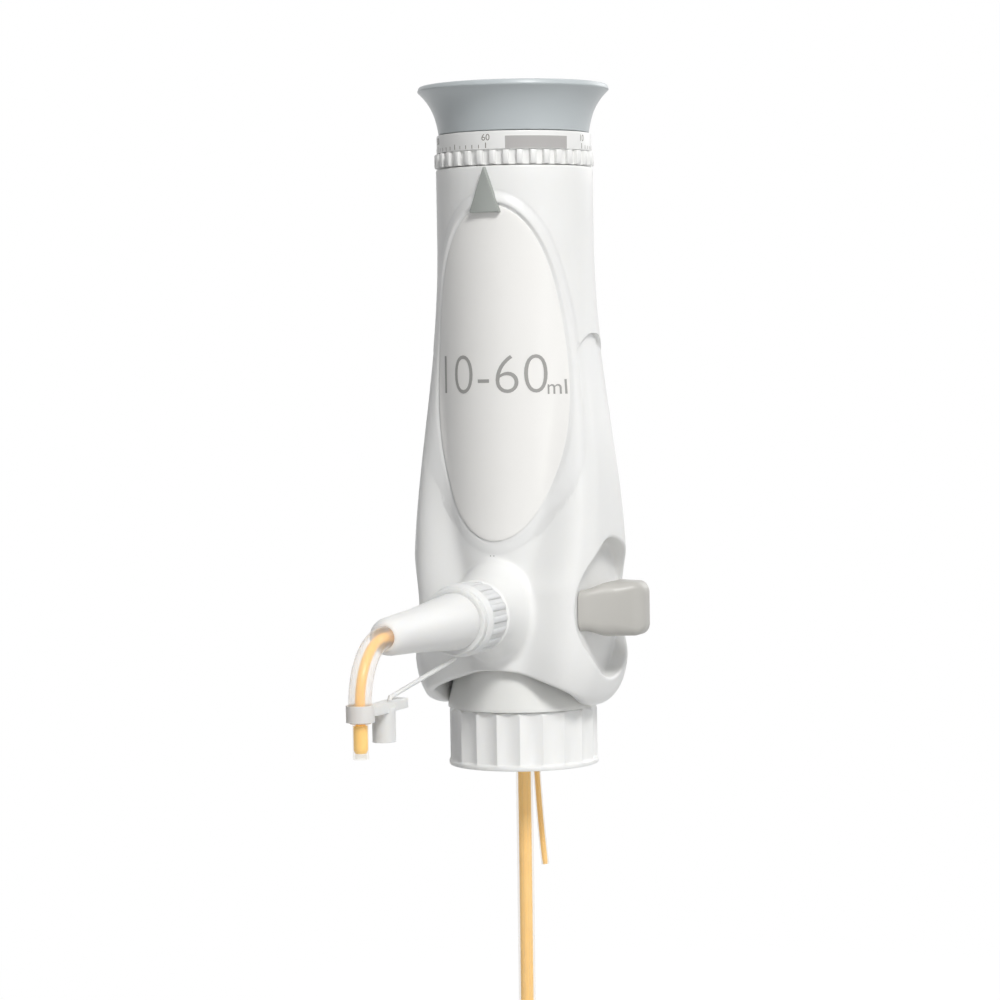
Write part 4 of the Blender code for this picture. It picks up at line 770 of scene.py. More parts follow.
def path_frames(path: Sequence[Vector]) -> list[tuple[Vector, Vector, Vector]]:
    """Places along a path with two directions across it that never twist.

    Args:
        path: Points of the path.

    Returns:
        The point, side and up of each place.
    """
    frames: list[tuple[Vector, Vector, Vector]] = []
    side = Vector((1, 0, 0))
    for i, place in enumerate(path):
        ahead = path[min(i + 1, len(path) - 1)] - path[max(i - 1, 0)]
        along = ahead.normalized()
        side = (side - along * side.dot(along)).normalized()
        frames.append((place, side, along.cross(side)))
    return frames


def round_bend(start: Vector, corner: Vector, end: Vector, radius: float,
               straight: int = 10, steps: int = 20) -> list[Vector]:
    """A path from start to end with a round quarter bend near the corner.

    Args:
        start: First point.
        corner: Where the two straights would meet.
        end: Last point.
        radius: Radius of the bend.
        straight: Steps on each straight.
        steps: Steps round the bend.

    Returns:
        The points.
    """
    inward, onward = (start - corner).normalized(), (end - corner).normalized()
    centre = corner + (inward + onward) * radius
    first, last = corner + inward * radius, corner + onward * radius
    points = [start.lerp(first, i / straight) for i in range(straight)]
    for i in range(steps + 1):
        turn = math.radians(90) * i / steps
        points.append(centre - onward * radius * math.cos(turn)
                      - inward * radius * math.sin(turn))
    points += [last.lerp(end, i / straight) for i in range(1, straight + 1)]
    return points


# Geometry Nodes


def new_tree(name: str, inputs: dict[str, tuple[str, object]]) -> bpy.types.NodeTree:
    """Start a Geometry Nodes tree with named inputs and one Geometry output.

    Args:
        name: Name of the tree.
        inputs: Socket type and default value of each input; None leaves it empty.

    Returns:
        The tree, with nodes named In and Out.
    """
    tree = bpy.data.node_groups.new(name, "GeometryNodeTree")
    for label, (kind, value) in inputs.items():
        socket = tree.interface.new_socket(label, in_out="INPUT", socket_type=kind)
        if value is not None:
            socket.default_value = value
    tree.interface.new_socket("Geometry", in_out="OUTPUT", socket_type="NodeSocketGeometry")
    tree.nodes.new("NodeGroupInput").name = "In"
    tree.nodes.new("NodeGroupOutput").name = "Out"
    return tree


def end_tree(tree: bpy.types.NodeTree, geometry: bpy.types.NodeSocket) -> None:
    """Close a tree with Realize Instances and Set Material.

    Args:
        tree: The tree, with a Material input.
        geometry: What it has made.
    """
    realize = add_node(tree, "GeometryNodeRealizeInstances", Geometry=geometry)
    dressed = add_node(tree, "GeometryNodeSetMaterial", Geometry=realize.outputs["Geometry"],
                       Material=tree.nodes["In"].outputs["Material"])
    fill(tree, tree.nodes["Out"], Geometry=dressed.outputs["Geometry"])


def repeat_tree() -> bpy.types.NodeTree:
    """A tree that repeats an object about Z: ribs, teeth and the ticks of a scale.

    Returns:
        The tree.
    """
    tree = new_tree("repeat_about_axis", {
        "Piece": ("NodeSocketObject", None),
        "Count": ("NodeSocketInt", 12),
        "Start": ("NodeSocketFloat", 0.0),
        "Step": ("NodeSocketFloat", 0.5),
        "Material": ("NodeSocketMaterial", None),
    })
    source = tree.nodes["In"].outputs
    info = add_node(tree, "GeometryNodeObjectInfo", Object=source["Piece"])
    line = add_node(tree, "GeometryNodeMeshLine", Count=source["Count"], Offset=(0, 0, 0))
    index = add_node(tree, "GeometryNodeInputIndex")
    turn = math_node(tree, "MULTIPLY_ADD", index.outputs[0], source["Step"], source["Start"])
    rotation = add_node(tree, "ShaderNodeCombineXYZ", Z=turn)
    instance = add_node(tree, "GeometryNodeInstanceOnPoints", Points=line.outputs["Mesh"],
                        Instance=info.outputs["Geometry"], Rotation=rotation.outputs[0])
    end_tree(tree, instance.outputs["Instances"])
    return tree


def helix_tree() -> bpy.types.NodeTree:
    """A tree that winds a rod into a helix about Z: the ridge of a thread.

    Returns:
        The tree.
    """
    tree = new_tree("helix", {
        "Turns": ("NodeSocketFloat", 3.0),
        "Radius": ("NodeSocketFloat", 0.01),
        "Height": ("NodeSocketFloat", 0.01),
        "Rod Radius": ("NodeSocketFloat", 0.001),
        "Rod Sides": ("NodeSocketInt", 12),
        "Resolution": ("NodeSocketInt", 64),
        "Material": ("NodeSocketMaterial", None),
    })
    source = tree.nodes["In"].outputs
    spiral = add_node(tree, "GeometryNodeCurveSpiral", Rotations=source["Turns"],
                      Start_Radius=source["Radius"], End_Radius=source["Radius"],
                      Height=source["Height"], Resolution=source["Resolution"])
    section = add_node(tree, "GeometryNodeCurvePrimitiveCircle", Radius=source["Rod Radius"],
                       Resolution=source["Rod Sides"])
    wind = add_node(tree, "GeometryNodeCurveToMesh", Curve=spiral.outputs["Curve"],
                    Profile_Curve=section.outputs["Curve"], Fill_Caps=True)
    end_tree(tree, wind.outputs["Mesh"])
    return tree


TREES: dict[str, bpy.types.NodeTree] = {"repeat": repeat_tree(), "helix": helix_tree()}


def grow(name: str, tree: str, finish: "Finish", **values: object) -> bpy.types.Object:
    """Run a Geometry Nodes tree and keep its result as a plain mesh.

    Args:
        name: Name of the object.
        tree: Key of the tree in TREES.
        finish: Finish for its Material input.
        values: Its other inputs by name, with _ for a space.

    Returns:
        The object, with no modifier left.
    """
    obj = new_object(name, bpy.data.meshes.new(name))
    modifier = obj.modifiers.new(tree, "NODES")
    modifier.node_group = TREES[tree]
    wanted = {key.replace("_", " "): value for key, value in values.items()}
    wanted["Material"] = finish_of(finish)
    for item in TREES[tree].interface.items_tree:
        if item.in_out == "INPUT":
            modifier[item.identifier] = wanted[item.name]
    return settle(obj)


def repeated(name: str, piece: bpy.types.Object, count: int, finish: "Finish",
             start: float = 0.0, step: float | None = None) -> bpy.types.Object:
    """Repeat a piece about Z with Geometry Nodes and remove the pattern piece.

    Args:
        name: Name of the object.
        piece: The pattern piece, at its place on the +X side.
        count: How many.
        finish: Finish of them all.
        start: Angle of the first, in radians.
        step: Angle between them; None spreads them over a full turn.

    Returns:
        The object.
    """
    obj = grow(name, "repeat", finish, Piece=piece, Count=count, Start=float(start),
               Step=float(math.tau / count if step is None else step))
    bpy.data.objects.remove(piece)
    return obj


# Placing and dressing


def moved(obj: bpy.types.Object, matrix: Matrix) -> bpy.types.Object:
    """Move an object's mesh, so that the object itself stays at the origin."""
    obj.data.transform(matrix)
    return obj


def forwards(height: float) -> Matrix:
    """Lays an upright shape down along the nozzle: its +Z becomes -Y."""
    return Matrix.Translation((0, 0, height)) @ Matrix.Rotation(math.radians(90), 4, "X")


def sideways(height: float) -> Matrix:
    """Lays an upright shape down along the knob: its +Z becomes +X."""
    return Matrix.Translation((0, 0, height)) @ Matrix.Rotation(math.radians(90), 4, "Y")


def dress(obj: bpy.types.Object, finish: Finish) -> bpy.types.Object:
    """Give a mesh one finish all over."""
    obj.data.materials.clear()
    obj.data.materials.append(finish_of(finish))
    return obj


def mount(obj: bpy.types.Object, body: str, slot: str, *nodes: str) -> bpy.types.Object:
    """Let a piece ride on its body and say which nodes it stands for.

    Args:
        obj: The piece.
        body: The body it moves with.
        slot: The record's material slot; not used.
        nodes: CAD nodes that it replaces.

    Returns:
        The piece.
    """
    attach(obj, body)
    if nodes:
        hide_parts(*nodes)
    faces = len(obj.data.polygons)
    LOG.info("%s: %d faces on %s, stands for %s", obj.name, faces, body,
             ", ".join(nodes) or "nothing")
    return obj


def keep(finish: Finish, *nodes: str) -> None:
    """Keep CAD nodes as they are, with a finish in their material slots."""
    for name in nodes:
        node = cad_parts[name]
        if not node.material_slots:
            node.data.materials.append(finish_of(finish))
        for material_slot in node.material_slots:
            material_slot.material = finish_of(finish)
        node.data.shade_smooth()
        node.data.set_sharp_from_angle(angle=math.radians(30))
        LOG.info("%s: kept, %s", name, finish.name.lower())


def lettering(name: str, text: str, size: float, align: str = "CENTER",
              thin: float = 0.0) -> bpy.types.Object:
    """Flat letters in Blender's own font, as a mesh in the XY plane.

    Args:
        name: Name of the object.
        text: What it says.
        size: Height of the font.
        align: Side of the text that lies at the origin.
        thin: How far the outline is drawn in, for lighter strokes.

    Returns:
        The object.
    """
    curve = bpy.data.curves.new(name, "FONT")
    curve.body = text
    curve.size = size
    curve.align_x = align
    curve.align_y = "CENTER"
    curve.resolution_u = 6
    curve.offset = -thin
    letters = new_object(name, curve)
    mesh = evaluated(letters)
    bpy.data.objects.remove(letters)
    return new_object(name, mesh)


def wrapped(obj: bpy.types.Object, place: Callable[[float, float], Vector],
            finest: float = 0.8 * MM) -> bpy.types.Object:
    """Lay a flat mesh on a curved surface.

    Args:
        obj: A mesh in the XY plane.
        place: Gives the point in space for x and y.
        finest: Longest edge left before the mesh is bent.

    Returns:
        The object.
    """
    bm = bmesh.new()
    bm.from_mesh(obj.data)
    bmesh.ops.triangulate(bm, faces=bm.faces)
    for _ in range(4):
        long_edges = [e for e in bm.edges if e.calc_length() > finest]
        if not long_edges:
            break
        bmesh.ops.subdivide_edges(bm, edges=long_edges, cuts=1)
        bmesh.ops.triangulate(bm, faces=bm.faces)
    for vertex in bm.verts:
        vertex.co = place(vertex.co.x, vertex.co.y)
    bm.to_mesh(obj.data)
    bm.free()
    return obj


# Housing


def half_cosine(value: np.ndarray, start: float, end: float) -> np.ndarray:
    """1 at start, 0 at end, smooth between them."""
    share = np.clip((np.asarray(value, float) - start) / (end - start), 0.0, 1.0)
    return 0.5 * (1 + np.cos(math.pi * share))


def soft_minimum(a: np.ndarray, b: np.ndarray, blend: float) -> np.ndarray:
    """The smaller of two values, rounded where they meet."""
    near = np.clip(0.5 + 0.5 * (b - a) / blend, 0.0, 1.0)
    return b + (a - b) * near - blend * near * (1 - near)


@dataclass
class HousingSkin:
    """The outer form of the housing: a round tower with two moulded ears.

    Angles are measured about Z from +X; the front is at -90 degrees.
    """

    tower_radius: float = 28.5 * MM
    top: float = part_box("housing")[1].z
    nozzle_height: float = 41.5 * MM
    ear_half_height: float = 35.3 * MM
    ear_proud: float = 7.5 * MM
    ear_corner_proud: float = 11.0 * MM
    ear_fade_top: float = 175.0 * MM
    ear_full_top: float = 40.0 * MM
    ear_full_bottom: float = 30.0 * MM
    arch_height: float = 20.5 * MM
    arch_half_angle: float = math.radians(82)
    notch_top: float = 140.8 * MM
    notch_bottom: float = 84.0 * MM
    notch_depth: float = 1.5 * MM
    notch_half_angle: float = math.radians(26)
    notch_droop: float = 6.5 * MM
    ridge_blend: float = 1.6 * MM
    ridge_angles: tuple[float, float] = (45.0, 24.0)
    ear_bulge: float = 0.0068
    front_fade: tuple[float, float] = (math.radians(40), math.radians(76))
    front_power: float = 1.4
    notch_soft: float = 0.8
    notch_step: float = 0.25 * MM

    @property
    def ear_bottom(self) -> float:
        """Height of the ears' lowest point."""
        return self.nozzle_height - self.ear_half_height - 0.3 * MM

    def ear_strength(self, height: np.ndarray) -> np.ndarray:
        """How far the ears stand out at a height, from 0 to 1."""
        below = (self.ear_full_bottom - height) / (self.ear_full_bottom - self.ear_bottom)
        rise = np.sqrt(np.clip(1 - np.clip(below, 0, None) ** 2.5, 0, None))
        return rise * half_cosine(height, self.ear_full_top, self.ear_fade_top)

    def notch_edge(self, from_side: np.ndarray) -> np.ndarray:
        """Height of the arched upper edge of the side recess."""
        share = np.clip(from_side / self.notch_half_angle, 0, 1)
        return self.notch_top - self.notch_droop * share ** 2.6

    def radius(self, angle: np.ndarray, height: np.ndarray,
               notch: bool = True) -> np.ndarray:
        """Radius of the skin.

        Args:
            angle: Angles about Z.
            height: Heights.
            notch: False leaves out the side recess.

        Returns:
            The radii.
        """
        angle, height = np.asarray(angle, float), np.asarray(height, float)
        from_side = np.arccos(np.clip(np.abs(np.cos(angle)), 0, 1))
        above = np.clip(height - 1.2 * self.nozzle_height, 0, None)
        low, high = self.ridge_angles
        ridge = high + (low - high) * np.exp(-above / self.ear_full_top)
        scaled = from_side * low / ridge
        reach = self.ear_proud + self.tower_radius
        side = reach / np.cos(np.minimum(scaled, 1.0)) - self.tower_radius
        bulge = self.ear_bulge * (side / MM) * (np.degrees(scaled) / 10) ** 2 * MM
        front = half_cosine(scaled, *self.front_fade) ** self.front_power
        corner = np.full_like(side, self.ear_corner_proud)
        ear = soft_minimum(side - bulge, corner, self.ridge_blend) * front
        radius = self.tower_radius + self.ear_strength(height) * np.clip(ear, 0, None)
        if notch:
            edge = self.notch_edge(from_side)
            step = np.clip((edge - height) / self.notch_step + 0.5, 0, 1)
            fade = half_cosine(height, self.notch_top, self.notch_bottom)
            width = half_cosine(from_side, self.notch_soft * self.notch_half_angle,
                                self.notch_half_angle)
            radius = radius - self.notch_depth * fade * width * step
        return radius

    def point(self, angle: float, height: float, proud: float = 0.0) -> Vector:
        """A point on the skin, or standing proud of it."""
        radius = float(self.radius(angle, height)) + proud
        return Vector((radius * math.cos(angle), radius * math.sin(angle), height))

    def lower_edge(self, angle: np.ndarray) -> np.ndarray:
        """Height of the arched lower edge at each angle about Z."""
        from_front = np.arccos(np.clip(np.abs(np.sin(angle)), 0, 1))
        share = np.clip(from_front / self.arch_half_angle, 0, 1) ** 1.2
        low = self.nozzle_height - self.ear_half_height
        return low + (self.arch_height - low) * half_cosine(share, 0, 1)

    def angle_at(self, fixed: np.ndarray, height: np.ndarray, middle: float,
                 along_y: bool) -> np.ndarray:
        """Angle at which the skin reaches a given x or y, near a middle angle.

        Args:
            fixed: The wanted y if along_y, or x.
            height: Heights.
            middle: Angle about which to search, 60 degrees each way.
            along_y: True to match y, False to match x.

        Returns:
            The angles.
        """
        fixed, height = np.asarray(fixed, float), np.asarray(height, float)
        reach, halvings = math.radians(60), 40
        low = np.full_like(fixed, middle - reach)
        high = np.full_like(fixed, middle + reach)
        turn = np.sin if along_y else np.cos
        rising = turn(middle + 0.1) > turn(middle - 0.1)
        for _ in range(halvings):
            mid = (low + high) / 2
            value = self.radius(mid, height) * turn(mid)
            less = (value < fixed) == rising
            low, high = np.where(less, mid, low), np.where(less, high, mid)
        return (low + high) / 2


@dataclass
class Housing:
    """The outer casing: skin, pockets, boss and rounded lower edge."""

    skin: HousingSkin = field(default_factory=HousingSkin)
    wall: float = 2.7 * MM
    patch_top: float = 80.0 * MM
    side_half_angle: float = math.radians(50)
    column_step: float = math.radians(2.5)
    side_rows: int = 30
    spokes: int = 15
    pocket_radius: float = 25.3 * MM
    pocket_fillet: float = 1.3 * MM
    pocket_floor: float = 28.5 * MM
    boss_radius: float = 13.0 * MM
    boss_front: float = 46.0 * MM
    boss_hole: float = 9.8 * MM
    boss_foot_half_width: float = 17.0 * MM
    boss_foot_half_height: float = 20.6 * MM
    boss_flare: tuple[float, float] = (1.2 * MM, 5.5 * MM)
    lip: float = 0.9 * MM
    skirt_radius: float = 27.8 * MM
    skirt_bottom: float = 6.3 * MM
    waist_radius: float = 24.5 * MM
    waist_height: float = 20.0 * MM
    points: list[tuple[float, float, float]] = field(default_factory=list)
    faces: list[tuple[int, ...]] = field(default_factory=list)

    def add_grid(self, rows: np.ndarray, around: bool = False) -> None:
        """Add a grid of points to the mesh.

        Args:
            rows: Points as an array of rows, columns and 3.
            around: True if each row closes on itself.
        """
        start = len(self.points)
        self.points += [tuple(p) for p in rows.reshape(-1, 3)]
        self.faces += [tuple(start + i for i in face) for face in
                       grid_faces(rows.shape[0], rows.shape[1], around)]

    def on_skin(self, angle: np.ndarray, height: np.ndarray) -> np.ndarray:
        """Points on the skin for arrays of angles and heights."""
        radius = self.skin.radius(angle, height)
        return np.stack([radius * np.cos(angle), radius * np.sin(angle), height], axis=-1)

    def frame_of_patch(self, middle: float, half: float) -> tuple[np.ndarray, np.ndarray]:
        """The outer edge of a patch round a pocket or the boss, from its lower right corner.

        Args:
            middle: Angle of the patch's middle.
            half: Half its width, as an angle.

        Returns:
            Angles and heights round the edge, counterclockwise as seen from outside.
        """
        columns = round(2 * half / self.column_step)
        across = np.linspace(-half, half, columns + 1)
        low_left, low_right = self.hem(np.array([middle - half, middle + half]))
        right = np.linspace(low_right, self.patch_top, self.side_rows + 1)[:-1]
        left = np.linspace(self.patch_top, low_left, self.side_rows + 1)[:-1]
        angles = np.concatenate([np.full(self.side_rows, middle + half),
                                 middle + across[::-1][:-1],
                                 np.full(self.side_rows, middle - half),
                                 middle + across[:-1]])
        heights = np.concatenate([right, np.full(columns, self.patch_top), left,
                                  self.hem(middle + across[:-1])])
        return angles, heights

    def turns_for(self, angles: np.ndarray, heights: np.ndarray, middle: float) -> np.ndarray:
        """The direction from the patch's centre to each point of its edge.

        Args:
            angles: Angles of the edge points.
            heights: Their heights.
            middle: Angle of the patch's middle.

        Returns:
            The directions in radians, 0 to the right and rising upwards.
        """
        stretch, evenness = 1.25, 0.35
        sideways_reach = (angles - middle) * self.skin.tower_radius * stretch
        up = heights - self.skin.nozzle_height
        turns = np.unwrap(np.arctan2(up, sideways_reach))
        even = np.linspace(turns[0], turns[0] + math.tau, len(turns) + 1)[:-1]
        return (1 - evenness) * turns + evenness * even

    def hem(self, angles: np.ndarray) -> np.ndarray:
        """Height at which the skin ends and the rounded lower edge begins."""
        return self.skin.lower_edge(angles) + self.lip

    def patch(self, middle: float, half: float, inner_angles: np.ndarray,
              inner_heights: np.ndarray, edge: tuple[np.ndarray, np.ndarray]) -> None:
        """Fill the skin between a hole's edge and its patch's outer edge.

        Args:
            middle: Angle of the patch's middle.
            half: Half the patch's width, as an angle.
            inner_angles: Angles of the hole's edge.
            inner_heights: Heights of the hole's edge.
            edge: Angles and heights of the outer edge.
        """
        rows = []
        for share in np.linspace(0, 1, self.spokes + 1):
            rows.append(self.on_skin(inner_angles + (edge[0] - inner_angles) * share,
                                     inner_heights + (edge[1] - inner_heights) * share))
        self.add_grid(np.array(rows), around=True)

    def pocket(self, middle: float) -> None:
        """One ear: its skin, the pocket's rounded rim, wall and floor.

        Args:
            middle: 0 for the right ear, pi for the left one.
        """
        side = math.cos(middle)
        centre = self.skin.nozzle_height
        edge = self.frame_of_patch(middle, self.side_half_angle)
        turns = self.turns_for(*edge, middle)

        def circle(radius: float) -> tuple[np.ndarray, np.ndarray, np.ndarray]:
            y, z = side * radius * np.cos(turns), centre + radius * np.sin(turns)
            angle = self.skin.angle_at(y, z, middle, True)
            return angle, z, np.abs(self.skin.radius(angle, z) * np.cos(angle))

        outer_angle, outer_z, outer_x = circle(self.pocket_radius + self.pocket_fillet)
        self.patch(middle, self.side_half_angle, outer_angle, outer_z, edge)
        rim_x = circle(self.pocket_radius)[2]
        depth = rim_x - self.pocket_floor
        fillet = np.minimum(self.pocket_fillet, 0.45 * depth)
        foot = np.minimum(0.9 * MM, 0.35 * depth)
        full = np.full_like(turns, self.pocket_radius)
        sections: list[tuple[np.ndarray, np.ndarray]] = []
        steps = 5
        for k in range(steps + 1):
            t = k / steps
            x = outer_x * (1 - t) ** 2 + rim_x * 2 * t * (1 - t) + (rim_x - fillet) * t ** 2
            r = full + self.pocket_fillet * (1 - t) ** 2
            sections.append((x, r))
        for t in (0.35, 0.7, 1.0):
            sections.append((rim_x - fillet + (self.pocket_floor + foot - rim_x + fillet) * t,
                             full))
        for k in range(1, 4):
            t = k / 3
            sections.append((self.pocket_floor + foot * (1 - t) ** 2, full - foot * t ** 2))
        for share in (0.75, 0.5, 0.25, 0.0):
            sections.append((np.full_like(turns, self.pocket_floor), full * share))
        rows = [np.stack([side * x, side * r * np.cos(turns), centre + r * np.sin(turns)],
                         axis=-1) for x, r in sections]
        self.add_grid(np.array(rows), around=True)

    def boss(self) -> None:
        """The front: skin round the nozzle and the soft flare up to the union nut."""
        middle = -math.pi / 2
        half = math.radians(90) - self.side_half_angle
        centre = self.skin.nozzle_height
        edge = self.frame_of_patch(middle, half)
        turns = self.turns_for(*edge, middle)
        across, up = np.cos(turns), np.sin(turns)
        start = self.skin.tower_radius * 0.97

        def front_of(x: np.ndarray, z: np.ndarray) -> tuple[np.ndarray, np.ndarray]:
            angle = self.skin.angle_at(x, z, middle, False)
            return angle, -self.skin.radius(angle, z) * np.sin(angle)

        def size_at(place: np.ndarray) -> tuple[np.ndarray, np.ndarray]:
            share = half_cosine(place, start, self.boss_front) ** 1.6
            return tuple(self.boss_radius + flare * share for flare in self.boss_flare)

        foot_x = self.boss_foot_half_width * across
        foot_z = centre + self.boss_foot_half_height * up
        foot_angle, foot_front = front_of(foot_x, foot_z)
        self.patch(middle, half, foot_angle, foot_z, edge)
        near_w, near_h = size_at(np.full_like(turns, start))
        near_front = front_of(near_w * across, centre + near_h * up)[1]
        rise = 4.2 * MM
        wall_w, wall_h = size_at(near_front + rise)
        rows = []
        steps = 7
        for k in range(steps + 1):
            t = k / steps
            a, b, c = (1 - t) ** 2, 2 * t * (1 - t), t ** 2
            w = self.boss_foot_half_width * a + near_w * b + wall_w * c
            h = self.boss_foot_half_height * a + near_h * b + wall_h * c
            s = foot_front * a + near_front * b + (near_front + rise) * c
            rows.append((w, h, s))
        fillet = 1.0 * MM
        for k in range(1, 9):
            s = near_front + rise + (self.boss_front - fillet - near_front - rise) * k / 8
            rows.append((*size_at(s), s))
        flat = np.full_like(turns, 1.0)
        for k in range(1, 5):
            t = k / 4
            r = self.boss_radius - fillet * t ** 2
            rows.append((flat * r, flat * r, flat * (self.boss_front - fillet * (1 - t) ** 2)))
        inner_end = 26.6 * MM
        for r, s in ((self.boss_hole + 0.3 * MM, self.boss_front),
                     (self.boss_hole, self.boss_front - 0.3 * MM),
                     (self.boss_hole, inner_end), (self.boss_hole / 2, inner_end),
                     (0.0, inner_end)):
            rows.append((flat * r, flat * r, flat * s))
        self.add_grid(np.array([np.stack([w * across, -s, centre + h * up], axis=-1)
                                for w, h, s in rows]), around=True)

    def back(self) -> None:
        """The plain back between the two ears."""
        columns = round(2 * (math.radians(90) - self.side_half_angle) / self.column_step)
        angles = np.linspace(self.side_half_angle, math.pi - self.side_half_angle,
                             columns + 1)
        low = self.hem(angles)
        self.add_grid(np.array([self.on_skin(angles, low + (self.patch_top - low) * share)
                                for share in np.linspace(0, 1, self.side_rows + 1)]))

    def columns(self) -> np.ndarray:
        """Angles of the columns that run all round the housing."""
        count = round(math.tau / self.column_step)
        return -self.side_half_angle + self.column_step * np.arange(count)

    def inner_radius(self, angle: np.ndarray, height: np.ndarray) -> np.ndarray:
        """Radius of the hollow inside the housing."""
        bore = self.skin.tower_radius - self.wall
        low = np.maximum(height, self.skin.ear_bottom)
        radius = np.maximum(self.skin.radius(angle, low, notch=False) - self.wall, bore)
        side = bore / np.maximum(np.abs(np.cos(angle)), 0.2)
        core_top = self.skin.nozzle_height + self.pocket_radius + self.wall
        radius = np.where(height < core_top, np.minimum(radius, side), radius)
        share = (height - self.skirt_bottom) / (self.waist_height - self.skirt_bottom)
        cone = self.skirt_radius + (self.waist_radius - self.skirt_radius) * np.clip(share,
                                                                                   0, 1)
        return np.where(share < 1, np.maximum(radius, cone), radius)

    def tower(self) -> None:
        """Everything above the patches, the rim, the hollow and the lower edge."""
        angles = self.columns()
        from_side = np.arccos(np.clip(np.abs(np.cos(angles)), 0, 1))
        bend = self.skin.notch_edge(from_side) - self.skin.notch_top
        top = self.skin.top
        gap, clear_of_notch, bend_reach, low_row = 4 * MM, 6 * MM, 22 * MM, 25 * MM
        levels = [self.patch_top + gap * i for i in range(14)]
        levels += [self.skin.notch_top + d * MM for d in
                   (-2.5, -1.0, -0.4, -0.14, 0.14, 0.4, 1.0, 2.5)]
        levels += [self.skin.notch_top + clear_of_notch + gap * i for i in range(13)]
        rows = []
        for level in levels:
            near = max(0.0, 1 - abs(level - self.skin.notch_top) / bend_reach)
            rows.append(self.on_skin(angles, level + bend * near))

        def ring(radius: np.ndarray, height: np.ndarray) -> np.ndarray:
            return np.stack([radius * np.cos(angles), radius * np.sin(angles),
                             height + 0 * angles], axis=-1)

        rim = self.skin.tower_radius + 0 * angles
        bore = rim - self.wall
        for out, down in ((0, 0.6), (0.08, 0.25), (0.28, 0.06), (0.6, 0)):
            rows.append(ring(rim - out * MM, top - down * MM))
        rows += [ring(bore + 0.4 * MM, top), ring(bore + 0.1 * MM, top - 0.12 * MM),
                 ring(bore, top - 0.4 * MM)]
        for level in (180, 160, 140, 120, 104, 92, 82, 74, 69.6, 69.2, 60, 50, 40, 32, 25):
            height = np.full_like(angles, level * MM)
            rows.append(ring(self.inner_radius(angles, height), height))
        edge = self.skin.lower_edge(angles)
        for share in (0.35, 0.7, 1.0):
            height = low_row + (edge + 0.5 * MM - low_row) * share
            rows.append(ring(self.inner_radius(angles, height), height))
        inner = self.inner_radius(angles, edge)
        rows.append(ring(inner + 0.4 * MM, edge))
        outer = self.skin.radius(angles, edge, notch=False)
        rows.append(ring(np.maximum(outer - 0.8 * MM, inner + 0.7 * MM), edge))
        low = edge + 0.3 * MM
        rows.append(ring(self.skin.radius(angles, low, notch=False) - 0.15 * MM, low))
        rows.append(self.on_skin(angles, self.hem(angles)))
        self.add_grid(np.array(rows), around=True)

    def build(self) -> bpy.types.Object:
        """Make the housing.

        Returns:
            The piece, on the dispenser's body.
        """
        self.pocket(0.0)
        self.pocket(math.pi)
        self.boss()
        self.back()
        self.tower()
        shell = mesh_object("housing_shell", self.points, self.faces, 0.000008)
        dress(smooth(shell, 50), Finish.HOUSING)
        return mount(shell, "body", "housing_plastic", "housing")


